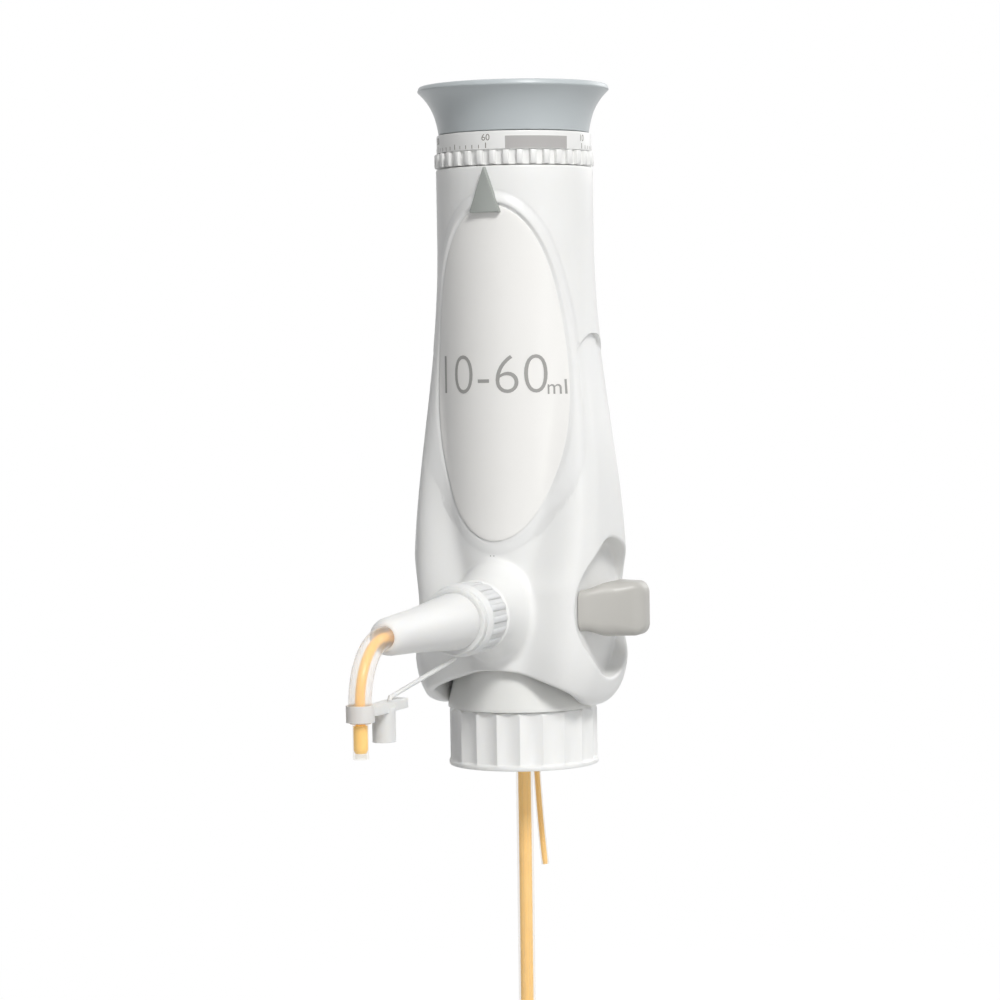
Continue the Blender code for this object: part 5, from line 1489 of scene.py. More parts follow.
@dataclass
class LabelAndPointer:
    """The moulded bead, the printed film inside it and the pointer under the dial."""

    skin: HousingSkin = field(default_factory=HousingSkin)
    centre: float = 127.0 * MM
    half_height: float = 61.6 * MM
    half_angle: float = math.radians(58.5)
    lean: float = math.radians(2.6)
    bead_height: float = 1.1 * MM
    bead_sway: float = 0.44
    bead_crest: float = 0.2 * MM
    bead_inside: float = 1.5 * MM
    bead_outside: float = -4.2 * MM
    film_inset: float = 1.75 * MM
    film_height: float = 0.5 * MM
    pointer_width: float = 11.3 * MM
    pointer_front: float = 31.0 * MM
    text_height: float = 21.5 * MM
    unit_height: float = 8.0 * MM
    text_level: float = 126.5 * MM
    text_thin: float = 0.35 * MM
    text_stretch: tuple[float, float, float, float] = (0.965, 0.95, 1.0, 1.0)
    number_place: tuple[float, float] = (-2.0 * MM, 0.6 * MM)
    unit_place: tuple[float, float] = (20.6 * MM, 4.9 * MM)

    def oval(self, turn: float, inset: float) -> tuple[float, float]:
        """A point of the oval, drawn in from it along its normal.

        Args:
            turn: Place round the oval.
            inset: Distance inside it.

        Returns:
            Angle about Z and height.
        """
        reach = self.half_angle * self.skin.tower_radius
        across, up = reach * math.cos(turn), self.half_height * math.sin(turn)
        normal = Vector((self.half_height * math.cos(turn), reach * math.sin(turn)))
        normal.normalize()
        across, up = across - normal.x * inset, up - normal.y * inset
        angle = -math.pi / 2 + self.lean + across / self.skin.tower_radius
        return angle, self.centre + up

    def bead(self) -> bpy.types.Object:
        """The bead round the label, as a closed ribbon on the skin.

        Returns:
            The piece.
        """
        around, across = 240, 16
        rows = []
        for i in range(around + 1):
            turn = math.tau * i / around
            height = self.bead_height * (1 - self.bead_sway + self.bead_sway * math.sin(turn))
            row = []
            for j in range(across + 1):
                offset = self.bead_outside + (self.bead_inside - self.bead_outside) * j / across
                foot = self.bead_inside if offset > self.bead_crest else self.bead_outside
                lift = float(half_cosine(abs(offset - self.bead_crest), 0,
                                         abs(foot - self.bead_crest)))
                row.append(self.skin.point(*self.oval(turn, offset), height * lift - 0.02 * MM))
            row.append(self.skin.point(*self.oval(turn, 0.0), -0.5 * MM))
            rows.append(row)
        bead = dress(smooth(ringed("label_bead", rows), 60), Finish.HOUSING)
        return mount(bead, "body", "housing_plastic")

    def film(self) -> bpy.types.Object:
        """The printed film: an oval sheet with a rolled edge that follows the skin.

        Returns:
            The piece.
        """
        around, below = 200, -0.3 * MM
        middle = (-math.pi / 2 + self.lean, self.centre)

        def ring(share: float, inset: float, proud: float) -> list[Vector]:
            """A ring of points, share of the way out from the middle."""
            row = []
            for i in range(around):
                angle, height = self.oval(math.tau * i / around, self.film_inset + inset)
                row.append(self.skin.point(middle[0] + (angle - middle[0]) * share,
                                           middle[1] + (height - middle[1]) * share, proud))
            return row

        shares = [i / 32 for i in range(32)]
        rows = [ring(share, 0.0, below) for share in shares]
        rows += [ring(1.0, 0.0, below), ring(1.0, 0.0, self.film_height - 0.12 * MM),
                 ring(1.0, 0.06 * MM, self.film_height - 0.03 * MM)]
        rows += [ring(share, 0.16 * MM, self.film_height) for share in [1.0] + shares[::-1]]
        film = dress(smooth(ringed("label_film", rows), 50), Finish.LABEL)
        return mount(film, "body", "label_film", "label_plate")

    def on_film(self, x: float, y: float) -> Vector:
        """A point just proud of the film, x along it from its middle and y above it."""
        angle = -math.pi / 2 + x / self.skin.tower_radius
        return self.skin.point(angle, self.centre + y, self.film_height + 0.08 * MM)

    def text(self) -> bpy.types.Object:
        """The plain range of the instrument, printed on the film.

        Returns:
            The piece.
        """
        level = self.text_level - self.centre
        stretch = Matrix.Diagonal(self.text_stretch)
        numbers = lettering("range_numbers", "10-60", self.text_height, thin=self.text_thin)
        unit = lettering("range_unit", "ml", self.unit_height, "LEFT")
        for letters, (x, down) in ((numbers, self.number_place), (unit, self.unit_place)):
            letters.data.transform(Matrix.Translation((x, level - down, 0)) @ stretch)
        text = merged("range_text", [numbers, unit])
        wrapped(text, self.on_film)
        dress(text, Finish.INK)
        return mount(text, "body", "label_film")

    def centre_marks(self) -> bpy.types.Object:
        """Two fine printed lines on the housing, below the oval's foot."""
        top, height = -self.half_height - 3.4 * MM, 3.4 * MM
        points, faces = [], []
        for x in (-0.75 * MM, 0.5 * MM):
            first = len(points)
            points += [(x + dx, top - dy, 0) for dy in (0, height / 2, height)
                       for dx in (0, 0.36 * MM)]
            faces += [(first, first + 1, first + 3, first + 2),
                      (first + 2, first + 3, first + 5, first + 4)]
        marks = wrapped(mesh_object("centre_marks", points, faces), lambda x, y:
                        self.skin.point(-math.pi / 2 + x / self.skin.tower_radius,
                                        self.centre + y, 0.07 * MM))
        return mount(dress(marks, Finish.INK), "body", "housing_plastic")

    def pointer(self) -> bpy.types.Object:
        """The grey pointer, with softened edges.

        Returns:
            The piece.
        """
        low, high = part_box("index_pointer")
        back = -self.skin.tower_radius - 0.1 * MM
        front = -self.pointer_front
        half = self.pointer_width / 2
        soft, corner = 0.35 * MM, 0.5 * MM
        edge = filleted([(-half, low.z, corner), (half, low.z, corner), (0, high.z, corner)])
        middle = Vector((0, low.z + (high.z - low.z) / 3))
        rows = []
        for y, shrink in ((back, 0.0), (front + soft, 0.0), (front + soft / 4, soft / 4),
                          (front, soft)):
            row = []
            for x, z in edge:
                inward = (middle - Vector((x, z)))
                x, z = Vector((x, z)) + inward.normalized() * shrink
                row.append((x, y, z))
            rows.append(row)
        pointer = dress(smooth(ringed("pointer", rows, True), 40), Finish.POINTER)
        return mount(pointer, "body", "pointer_plastic", "index_pointer")

    def build(self) -> None:
        """Make the bead, film, text and pointer."""
        self.bead()
        self.film()
        self.text()
        self.centre_marks()
        self.pointer()


# Dial and handle


@dataclass
class Dial:
    """The scale drum with its knurled ring."""

    teeth: int = 36
    drum_radius: float = 28.1 * MM
    tooth_outer: float = 29.0 * MM
    tooth_root: float = 27.2 * MM
    knurl_height: float = 5.4 * MM
    bore: float = 25.7 * MM
    tooth_share: float = 0.46
    per_millilitre: float = math.radians(279) / 50
    largest: int = 60
    smallest: int = 10
    digit_height: float = 3.3 * MM
    digit_level: float = 4.2 * MM
    print_proud: float = 0.03 * MM
    print_depth: float = 0.05 * MM
    band_span: tuple[float, float] = (math.radians(14.6), math.radians(63.3))
    band_foot: float = 0.25 * MM
    band_height: float = 4.4 * MM
    band_proud: float = 0.025 * MM
    foot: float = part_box("volume_dial")[0].z
    top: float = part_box("volume_dial")[1].z

    @property
    def edge(self) -> float:
        """Height of the knurled ring's upper edge."""
        return self.foot + self.knurl_height

    def drum(self) -> bpy.types.Object:
        """The smooth drum and the root of the knurled ring."""
        return dress(lathe("dial_drum", [
            (self.bore, self.foot, 0.2 * MM), (self.tooth_root, self.foot, EDGE),
            (self.tooth_root, self.edge, 0.1 * MM),
            (self.drum_radius, self.edge + 0.15 * MM, 0.1 * MM),
            (self.drum_radius, self.top, 0.5 * MM), (self.bore, self.top, EDGE)], 180, 4),
            Finish.DIAL)

    def tooth(self) -> bpy.types.Object:
        """One broad tooth of the knurled ring, rounded at its edges, on the +X side."""
        half = self.tooth_share * math.pi / self.teeth
        root, inset, soft = self.tooth_root - 0.3 * MM, 0.35 * MM, 0.25 * MM
        rows = []
        for z, shrink in ((self.foot + 0.25 * MM, soft), (self.foot + 0.6 * MM, 0.0),
                          (self.edge - 0.6 * MM, 0.0), (self.edge - 0.2 * MM, soft)):
            rows.append([polar(self.tooth_outer - shrink - inset * abs(share) ** 6,
                               half * share, z)
                         for share in (-1.0, -0.9, -0.6, -0.2, 0.2, 0.6, 0.9, 1.0)])
            rows[-1] += [polar(root, angle, z) for angle in (half, -half)]
        return smooth(ringed("tooth", rows, True), 40)

    def print_at(self, x: float, y: float) -> Vector:
        """A point just proud of the drum: x is an angle, y a height above the drum's foot."""
        return Vector(polar(self.drum_radius + self.print_proud,
                            x / self.drum_radius - math.pi / 2, self.edge + y))

    def angle_of(self, volume: float) -> float:
        """Angle of a volume's mark, from the pointer, clockwise as seen from above."""
        return -(self.largest - volume) * self.per_millilitre

    def scale(self) -> bpy.types.Object:
        """Ticks for every millilitre, longer ones for every five and ten."""
        marks = []
        for length, every, width in ((1.3 * MM, 1, 0.28 * MM), (1.9 * MM, 5, 0.34 * MM)):
            bar = self.bar(length, width)
            count = (self.largest - self.smallest) // every + 1
            marks.append(repeated(f"ticks_{every}", bar, count, Finish.DIAL_INK,
                                  start=-math.pi / 2, step=-self.per_millilitre * every))
        return merged("dial_ticks", marks)

    def bar(self, length: float, width: float) -> bpy.types.Object:
        """A printed bar at the drum's foot, on the +X side."""
        low = self.edge + 0.5 * MM
        half = width / 2 / self.drum_radius
        points = [polar(radius, angle, z)
                  for radius in (self.drum_radius - self.print_depth,
                                 self.drum_radius + self.print_proud)
                  for z in (low, low + length) for angle in (-half, half)]
        faces = [(4, 5, 7, 6), (0, 1, 5, 4), (2, 3, 7, 6), (0, 2, 6, 4), (1, 3, 7, 5),
                 (0, 1, 3, 2)]
        return mesh_object("bar", points, faces)

    def numbers(self) -> bpy.types.Object:
        """A plain number for every ten millilitres."""
        pieces = []
        for volume in range(self.smallest, self.largest + 1, 10):
            digits = lettering(f"number_{volume}", str(volume), self.digit_height)
            offset = self.angle_of(volume) * self.drum_radius
            digits.data.transform(Matrix.Translation((offset, self.digit_level, 0)))
            pieces.append(wrapped(digits, self.print_at))
        return dress(merged("dial_numbers", pieces), Finish.DIAL_INK)

    def band(self) -> bpy.types.Object:
        """The grey band in the part of the drum that carries no scale."""
        first, last = self.band_span
        columns, rows = 40, 4
        points = []
        for radius in (self.drum_radius - self.print_depth,
                       self.drum_radius + self.band_proud):
            for i in range(rows + 1):
                for j in range(columns + 1):
                    angle = first + (last - first) * j / columns
                    place = self.print_at(angle * self.drum_radius,
                                          self.band_foot + self.band_height * i / rows)
                    flat = Vector((place.x, place.y, 0)).normalized() * radius
                    points.append((flat.x, flat.y, place.z))
        size = (rows + 1) * (columns + 1)
        faces = grid_faces(rows + 1, columns + 1)
        faces += [tuple(size + i for i in face[::-1]) for face in faces]
        rim = list(range(columns + 1))
        rim += [i * (columns + 1) + columns for i in range(1, rows + 1)]
        rim += [rows * (columns + 1) + j for j in range(columns - 1, -1, -1)]
        rim += [i * (columns + 1) for i in range(rows - 1, 0, -1)]
        faces += [(a, b, b + size, a + size) for a, b in zip(rim, rim[1:] + rim[:1])]
        return dress(smooth(mesh_object("dial_band", points, faces), 40), Finish.SCALE_BAND)

    def build(self) -> bpy.types.Object:
        """Make the dial.

        Returns:
            The piece, on the dial's body.
        """
        knurl = repeated("knurl", self.tooth(), self.teeth, Finish.DIAL,
                         start=-math.pi / 2 + math.pi / self.teeth)
        dial = merged("scale_dial", [self.drum(), knurl, self.scale(), self.numbers(),
                                     self.band()])
        return mount(dial, "dial", "dial_plastic", "volume_dial")


@dataclass
class Handle:
    """The flared pump handle and its cover."""

    rim_radius: float = 34.9 * MM
    foot_radius: float = 27.3 * MM
    wall: float = 2.5 * MM
    cover_radius: float = 27.0 * MM
    hub_outer: float = 16.4 * MM
    hub_wall: float = 2.5 * MM
    screw_hole: float = 2.3 * MM
    steps: int = 16

    def flare(self, share: float) -> float:
        """Radius of the outside at a share of the height from foot to rim."""
        return self.foot_radius + (self.rim_radius - self.foot_radius) * (
            0.35 * share + 0.65 * share ** 3)

    def body(self) -> bpy.types.Object:
        """The handle with its hollow underside.

        Returns:
            The piece.
        """
        low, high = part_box("handle")
        height = high.z - low.z
        cover_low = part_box("handle_cover")[0].z
        plate_top = cover_low - 0.3 * MM
        plate_bottom = plate_top - 3.0 * MM
        reach = 0.9 * height
        outer = [(self.flare(i / self.steps), low.z + reach * i / self.steps)
                 for i in range(self.steps + 1)]
        inner = [(r - self.wall, z) for r, z in outer if z < plate_bottom - 0.8 * MM]
        recess = self.cover_radius + 0.3 * MM
        corners: list[Sequence[float]] = [(outer[0][0], outer[0][1], EDGE), *outer[1:-1]]
        corners += [(*outer[-1], 0.5 * MM), (self.rim_radius - 0.7 * MM, high.z, 0.6 * MM),
                    (recess, high.z, 0.25 * MM), (recess, plate_top),
                    (self.screw_hole, plate_top), (self.screw_hole, plate_bottom),
                    (self.hub_outer - self.hub_wall, plate_bottom, 0.5 * MM),
                    (self.hub_outer - self.hub_wall, low.z + self.wall, EDGE),
                    (self.hub_outer, low.z + self.wall, EDGE),
                    (self.hub_outer, plate_bottom, 0.8 * MM),
                    (inner[-1][0] + 0.5 * MM, plate_bottom, 0.8 * MM), *inner[::-1][:-1],
                    (*inner[0], EDGE)]
        handle = dress(lathe("pump_handle", corners, 160), Finish.HANDLE)
        return mount(handle, "plunger", "handle_plastic", "handle")

    def cover(self) -> bpy.types.Object:
        """The cover: a shallow dished cap in the handle's recess.

        Returns:
            The piece.
        """
        low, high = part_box("handle_cover")
        wall = 1.4 * MM
        dish = 0.35 * MM
        corners = [(0, high.z - dish), (self.cover_radius - 7.0 * MM, high.z - dish, 2.0 * MM),
                   (self.cover_radius - 3.0 * MM, high.z, 2.0 * MM),
                   (self.cover_radius, high.z, 0.6 * MM),
                   (self.cover_radius, low.z), (self.cover_radius - wall, low.z),
                   (self.cover_radius - wall, high.z - dish - wall, 0.5 * MM),
                   (0, high.z - dish - wall)]
        cover = dress(lathe("pump_handle_cover", corners, 160), Finish.HANDLE)
        return mount(cover, "plunger", "handle_plastic", "handle_cover")

    def build(self) -> None:
        """Make the handle and its cover."""
        self.body()
        self.cover()


# Lower pieces


@dataclass
class ScrewCollar:
    """The screw collar with its scalloped grip and its inner thread."""

    radius: float = 27.0 * MM
    rim: float = 0.4 * MM
    scallops: int = 20
    samples: int = 14
    depth: float = 1.1 * MM
    bore: float = 22.8 * MM
    web: float = 1.7 * MM
    hole: float = 18.8 * MM
    shoulder: float = 1.2 * MM
    thread_pitch: float = 4.0 * MM
    thread_turns: float = 2.4
    thread_rod: float = 0.85 * MM

    def outline(self) -> list[tuple[float, float, float]]:
        """Radius, height and depth of the scallops along the closed outline."""
        low, high = (corner.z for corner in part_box("collar"))
        rows = [(self.hole, high - self.web, 0.0), (self.hole, high - 0.2 * MM, 0.0),
                (self.hole + 0.2 * MM, high, 0.0),
                (self.radius - self.shoulder - self.depth, high, 0.0)]
        for i in range(7):
            turn = math.radians(90) * i / 6
            rows.append((self.radius - self.shoulder * (1 - math.sin(turn)),
                         high - self.shoulder * (1 - math.cos(turn)),
                         self.depth * math.sin(turn)))
        fade = low + 2.3 * MM
        for i in range(6):
            share = i / 5
            out = eased(share)
            rows.append((self.radius + self.rim * out, fade - 1.0 * MM * share,
                         self.depth * (1 - out)))
        edge = self.radius + self.rim
        rows += [(edge, low + 0.35 * MM, 0.0), (edge - 0.1 * MM, low + 0.1 * MM, 0.0),
                 (edge - 0.35 * MM, low, 0.0), (self.bore + 0.5 * MM, low, 0.0),
                 (self.bore, low + 0.5 * MM, 0.0), (self.bore, high - self.web, 0.0)]
        return rows

    def build(self) -> None:
        """Make the collar with its thread."""
        around = self.scallops * self.samples
        rows = []
        for radius, height, depth in self.outline():
            row = []
            for i in range(around):
                dish = math.sin(math.pi * (i % self.samples) / self.samples) ** 0.9
                row.append(polar(radius - depth * dish, math.tau * i / around, height))
            rows.append(row)
        shell = smooth(ringed("collar_shell", [*rows, rows[0]]), 40)
        dress(shell, Finish.COLLAR)
        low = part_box("collar")[0].z
        thread = grow("collar_thread", "helix", Finish.COLLAR, Turns=self.thread_turns,
                      Radius=self.bore, Height=self.thread_pitch * self.thread_turns,
                      Rod_Radius=self.thread_rod, Rod_Sides=12, Resolution=90)
        moved(smooth(thread, 50), Matrix.Translation((0, 0, low + 2.6 * MM)))
        mount(merged("screw_collar", [shell, thread]), "screw_collar", "nozzle_plastic",
              "collar")


@dataclass
class ValveBlock:
    """The outer form of the valve block and its cup for the barrel."""

    skirt: float = 27.5 * MM
    waist: float = 24.2 * MM
    upper: float = 25.5 * MM
    cup: float = 21.2 * MM
    neck: float = 15.5 * MM
    wall: float = 2.4 * MM
    foot: float = 5.3 * MM
    floor: float = 56.0 * MM

    def build(self) -> None:
        """Make the block: waisted skirt, neck below it and cup on top."""
        low, high = (corner.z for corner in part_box("valve_block"))
        corners = [(0, low + 6.5 * MM), (self.neck - self.wall, low + 6.5 * MM),
                   (self.neck - self.wall, low), (self.neck, low, EDGE),
                   (self.neck, self.foot), (self.skirt, self.foot, EDGE),
                   (self.skirt, self.foot + 1.0 * MM, 0.5 * MM),
                   (self.waist, 20.0 * MM, 3.0 * MM),
                   (self.waist, 21.3 * MM, 0.6 * MM), (self.upper, 24.3 * MM, 0.6 * MM),
                   (self.upper, high, EDGE), (self.cup, high, EDGE),
                   (self.cup, self.floor, 0.4 * MM), (0, self.floor)]
        block = dress(lathe("valve_block_shell", corners, 160), Finish.BLOCK)
        mount(block, "body", "block_plastic", "valve_block")


@dataclass
class Nozzle:
    """Union nut, cone, milky elbow, discharge tube with liquid, and the strap's ring."""

    height: float = 41.5 * MM
    nut_end: float = 63.0 * MM
    nut_length: float = 17.0 * MM
    nut_radius: float = 12.8 * MM
    ribs: int = 18
    rib_depth: float = 0.6 * MM
    rib_share: float = 0.62
    lip: float = 1.7 * MM
    thread_bore: float = 11.5 * MM
    cone_base: float = 10.2 * MM
    cone_mid: tuple[float, float] = (7.5 * MM, 99.0 * MM)
    cone_tip: tuple[float, float] = (6.2 * MM, 127.0 * MM)
    bend: float = 20.0 * MM
    elbow_radius: float = 3.8 * MM
    liquid_core: float = 1.65 * MM
    elbow_drop: float = 26.0 * MM
    tube_radius: float = 2.65 * MM
    tube_wall: float = 0.8 * MM
    tube_drop: float = 37.6 * MM
    liquid_drop: float = 35.6 * MM
    tube_start: float = 64.0 * MM
    liquid_start: float = 64.5 * MM
    tube_seen_from: float = 0.84
    core_to: float = 0.87
    liquid_from: float = 0.86
    near_end: float = 0.985

    @property
    def spout(self) -> float:
        """Distance of the downward spout from the main axis."""
        return self.cone_tip[1] + self.bend

    def course(self, start: float, drop: float) -> list[Vector]:
        """The line of the spout from a place in front of the axis down to a drop."""
        return round_bend(Vector((0, -start, self.height)),
                          Vector((0, -self.spout, self.height)),
                          Vector((0, -self.spout, self.height - drop)), self.bend, 14, 28)

    def nut(self) -> None:
        """The union nut: a turned body and Geometry Nodes ribs."""
        start = self.nut_end - self.nut_length
        root = self.nut_radius - self.rib_depth
        band = self.nut_end - 2 * self.lip
        bore = self.cone_base + 0.3 * MM
        body = dress(lathe("nut_body", [
            (self.nut_radius - 1.0 * MM, self.nut_end, 0.5 * MM),
            (self.nut_radius, band + 1.2 * MM, 0.8 * MM),
            (self.nut_radius, band, EDGE), (root, band - 0.5 * MM, 0.2 * MM),
            (root, start, 0.4 * MM), (self.thread_bore, start),
            (self.thread_bore, self.nut_end - self.lip),
            (bore, self.nut_end - self.lip), (bore, self.nut_end, EDGE)]), Finish.NOZZLE)
        half = self.rib_share * math.pi / self.ribs
        rows = []
        for z, rise in ((start + 0.15 * MM, 0.0), (start + 0.5 * MM, 0.7),
                        (start + 1.1 * MM, 1.0), (band - 0.2 * MM, 1.0),
                        (band + 0.1 * MM, 0.9)):
            row = []
            for i in range(11):
                share = 2 * i / 10 - 1
                crown = (1 - abs(share) ** 3) * rise
                reach = root - 0.05 * MM + (self.rib_depth + 0.03 * MM) * crown
                row.append(polar(reach, half * share, z))
            rows.append(row + [polar(root - 0.5 * MM, angle, z) for angle in (half, -half)])
        rib = smooth(ringed("rib", rows, True), 50)
        ribs = repeated("nut_ribs", rib, self.ribs, Finish.NOZZLE)
        nut = moved(merged("union_nut", [body, ribs]), forwards(self.height))
        mount(nut, "union_nut", "nozzle_plastic", "nozzle_nut")

    def cone(self) -> None:
        """The conical nozzle with its flange, tail and socket for the elbow."""
        flange, tail = self.thread_bore - 0.3 * MM, 3.9 * MM
        back = self.nut_end - self.lip - 0.3 * MM
        bore = self.tube_radius + 0.3 * MM
        socket = self.elbow_radius + 0.25 * MM
        tip = self.cone_tip[1]
        nose = [(self.elbow_radius + 0.3 * MM + (self.cone_tip[0] - self.elbow_radius)
                 * math.cos(turn), tip - 6.5 * MM * (1 - math.sin(turn)))
                for turn in [math.radians(90) * i / 8 for i in range(8, -1, -1)]]
        cone = lathe("nozzle_cone", [
            *nose, (*self.cone_mid, 8.0 * MM),
            (self.cone_base, self.nut_end), (self.cone_base, back),
            (flange, back), (flange, back - 1.7 * MM), (tail, back - 1.7 * MM),
            (tail, back - 14.7 * MM), (bore - 0.5 * MM, back - 14.7 * MM),
            (bore - 0.5 * MM, back), (bore, back + 1.0 * MM), (bore, tip - 10.0 * MM),
            (socket, tip - 10.0 * MM), (socket - 0.2 * MM, tip)], 144)
        mount(dress(moved(cone, forwards(self.height)), Finish.NOZZLE), "body",
              "nozzle_plastic", "nozzle_body")

    def spout_pieces(self) -> None:
        """The milky elbow, the visible end of the clear tube and the liquid in both."""
        elbow = swept("milky_elbow", self.course(self.cone_tip[1] - 9.7 * MM, self.elbow_drop), [
            (self.elbow_radius - 0.25 * MM, 0), (self.elbow_radius, 0.01),
            (self.elbow_radius, self.near_end), (self.elbow_radius - 0.3 * MM, 1),
            (self.tube_radius, 1), (CLOSED, 0.99), (CLOSED, 0.01)], 56)
        mount(dress(elbow, Finish.MILKY), "body", "cap_plastic", "nozzle_elbow")
        bore = self.tube_radius - self.tube_wall
        tube = swept("clear_spout_tube", self.course(self.tube_start, self.tube_drop), [
            (self.tube_radius, self.tube_seen_from), (self.tube_radius, 0.995),
            (self.tube_radius - 0.2 * MM, 1), (bore + 0.1 * MM, 1), (bore, 0.995),
            (bore, self.tube_seen_from)], 48)
        mount(dress(tube, Finish.TUBE), "body", "tube_plastic", "discharge_tube")
        wide = self.tube_radius - 0.3 * MM
        course = self.course(self.liquid_start, self.liquid_drop)
        core = swept("liquid_in_elbow", course, [
            (self.liquid_core, 0), (self.liquid_core, self.core_to), (CLOSED, self.core_to),
            (CLOSED, 0)], 40)
        mount(dress(core, Finish.SPOUT_LIQUID), "body", "tube_plastic")
        liquid = swept("liquid_in_spout", course, [
            (wide, self.liquid_from), (wide, self.near_end), (wide - 0.5 * MM, 1),
            (CLOSED, 0.98), (CLOSED, self.liquid_from)], 40)
        mount(dress(liquid, Finish.LIQUID), "body", "tube_plastic")

    def strap_ring(self) -> None:
        """The ring round the cone that holds the cap's strap."""
        bore = self.cone_base - 0.3 * MM
        start, end = self.nut_end + 0.1 * MM, self.nut_end + 3.3 * MM
        outer = -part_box("strap_ring")[0].x
        ring = lathe("strap_ring_soft", [(outer, end, 0.5 * MM), (outer, start, 0.5 * MM),
                                         (bore, start, 0.2 * MM), (bore, end, 0.2 * MM)], 96)
        mount(dress(moved(ring, forwards(self.height)), Finish.CAP), "body", "cap_plastic",
              "strap_ring")

    def build(self) -> None:
        """Make the nozzle's pieces."""
        self.nut()
        self.cone()
        self.spout_pieces()
        self.strap_ring()


@dataclass
class Cap:
    """The cap link on the spout and the strap that holds it."""

    ring_place: float = 147.0 * MM
    ring_outer: float = 4.66 * MM
    ring_inner: float = 4.05 * MM
    ring_height: float = 5.5 * MM
    arm_end: float = 112.0 * MM
    arm_half_width: float = 3.0 * MM
    arm_thickness: float = 3.0 * MM
    cup_place: float = 128.0 * MM
    cup_radius: float = 3.9 * MM
    cup_wall: float = 0.85 * MM
    dimple_place: float = 115.0 * MM
    strap_radius: float = 0.8 * MM
    strap_points: int = 24
    strap_foot: float = 1.3 * MM

    def link(self) -> None:
        """The ring, arm and cup as one soft piece."""
        low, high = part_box("cap_link")
        ring_bottom = high.z - self.ring_height
        middle = (high.z + ring_bottom) / 2
        top, bottom = middle + self.arm_thickness / 2, middle - self.arm_thickness / 2
        outline = [(self.arm_half_width * math.cos(a),
                    self.arm_end + self.arm_half_width * (1 - math.sin(a)))
                   for a in [math.pi * i / 20 for i in range(21)]]
        waist, neck = 0.6 * self.arm_half_width, self.ring_place - 4.4 * MM
        pad = self.cup_place + self.cup_radius + 2.0 * MM
        for side in (-1, 1):
            edge = [(side * (waist + (self.arm_half_width - waist) * (1 - eased(t))),
                     pad + (neck - pad) * t) for t in [i / 8 for i in range(9)]]
            outline += edge if side < 0 else edge[::-1]
        link = ringed("cap_link_soft", [[(x, -s, z) for x, s in outline]
                                        for z in (bottom, top)], True)
        cup = moved(lathe("cup", [(0, low.z), (self.cup_radius, low.z),
                                  (self.cup_radius, middle), (0, middle)], 56),
                    Matrix.Translation((0, -self.cup_place, 0)))
        collar = moved(lathe("ring", [(self.ring_inner - 0.01 * MM, ring_bottom),
                                      (self.ring_outer, ring_bottom),
                                      (self.ring_outer, high.z),
                                      (self.ring_inner - 0.01 * MM, high.z)], 56),
                       Matrix.Translation((0, -self.ring_place, 0)))
        joined(joined(link, cup), collar)
        inside = moved(lathe("inside", [(0, low.z - MM), (self.cup_radius - self.cup_wall,
                                                          low.z - MM),
                                        (self.cup_radius - self.cup_wall, bottom), (0, bottom)],
                             56), Matrix.Translation((0, -self.cup_place, 0)))
        dimple = moved(lathe("dimple", [(0, top - 0.6 * MM), (1.3 * MM, top - 0.6 * MM, 0.4 * MM),
                                        (1.8 * MM, top + 1.0 * MM), (0, top + 1.0 * MM)], 40),
                       Matrix.Translation((0, -self.dimple_place, 0)))
        joined(joined(link, inside, "DIFFERENCE"), dimple, "DIFFERENCE")
        bevel(link, 0.28 * MM, 3, 50)
        mount(dress(smooth(link, 40), Finish.CAP), "cap", "cap_plastic", "cap_link")

    def strap(self) -> None:
        """The strap between the nozzle's ring and the cap link."""
        low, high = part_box("cap_strap")
        start = Vector((0, high.y - 0.1 * MM, high.z - self.strap_radius + 0.02 * MM))
        end = Vector((0, low.y + 0.1 * MM, low.z + self.strap_radius - 0.05 * MM))
        path = [start.lerp(end, i / self.strap_points) for i in range(self.strap_points + 1)]
        path.append(end + Vector((0, -0.5 * MM, -self.strap_foot)))
        full = self.strap_radius
        strap = swept("cap_strap_soft", path, [
            (CLOSED, 0), (0.5 * full, 0), (full, 1 / self.strap_points),
            (full, 1), (CLOSED, 1)], 20)
        dress(strap, Finish.CAP)
        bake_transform(strap)
        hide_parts("cap_strap")
        LOG.info("%s: %d faces between body and cap", strap.name, len(strap.data.polygons))

    def build(self) -> None:
        """Make the link and its strap."""
        self.link()
        self.strap()


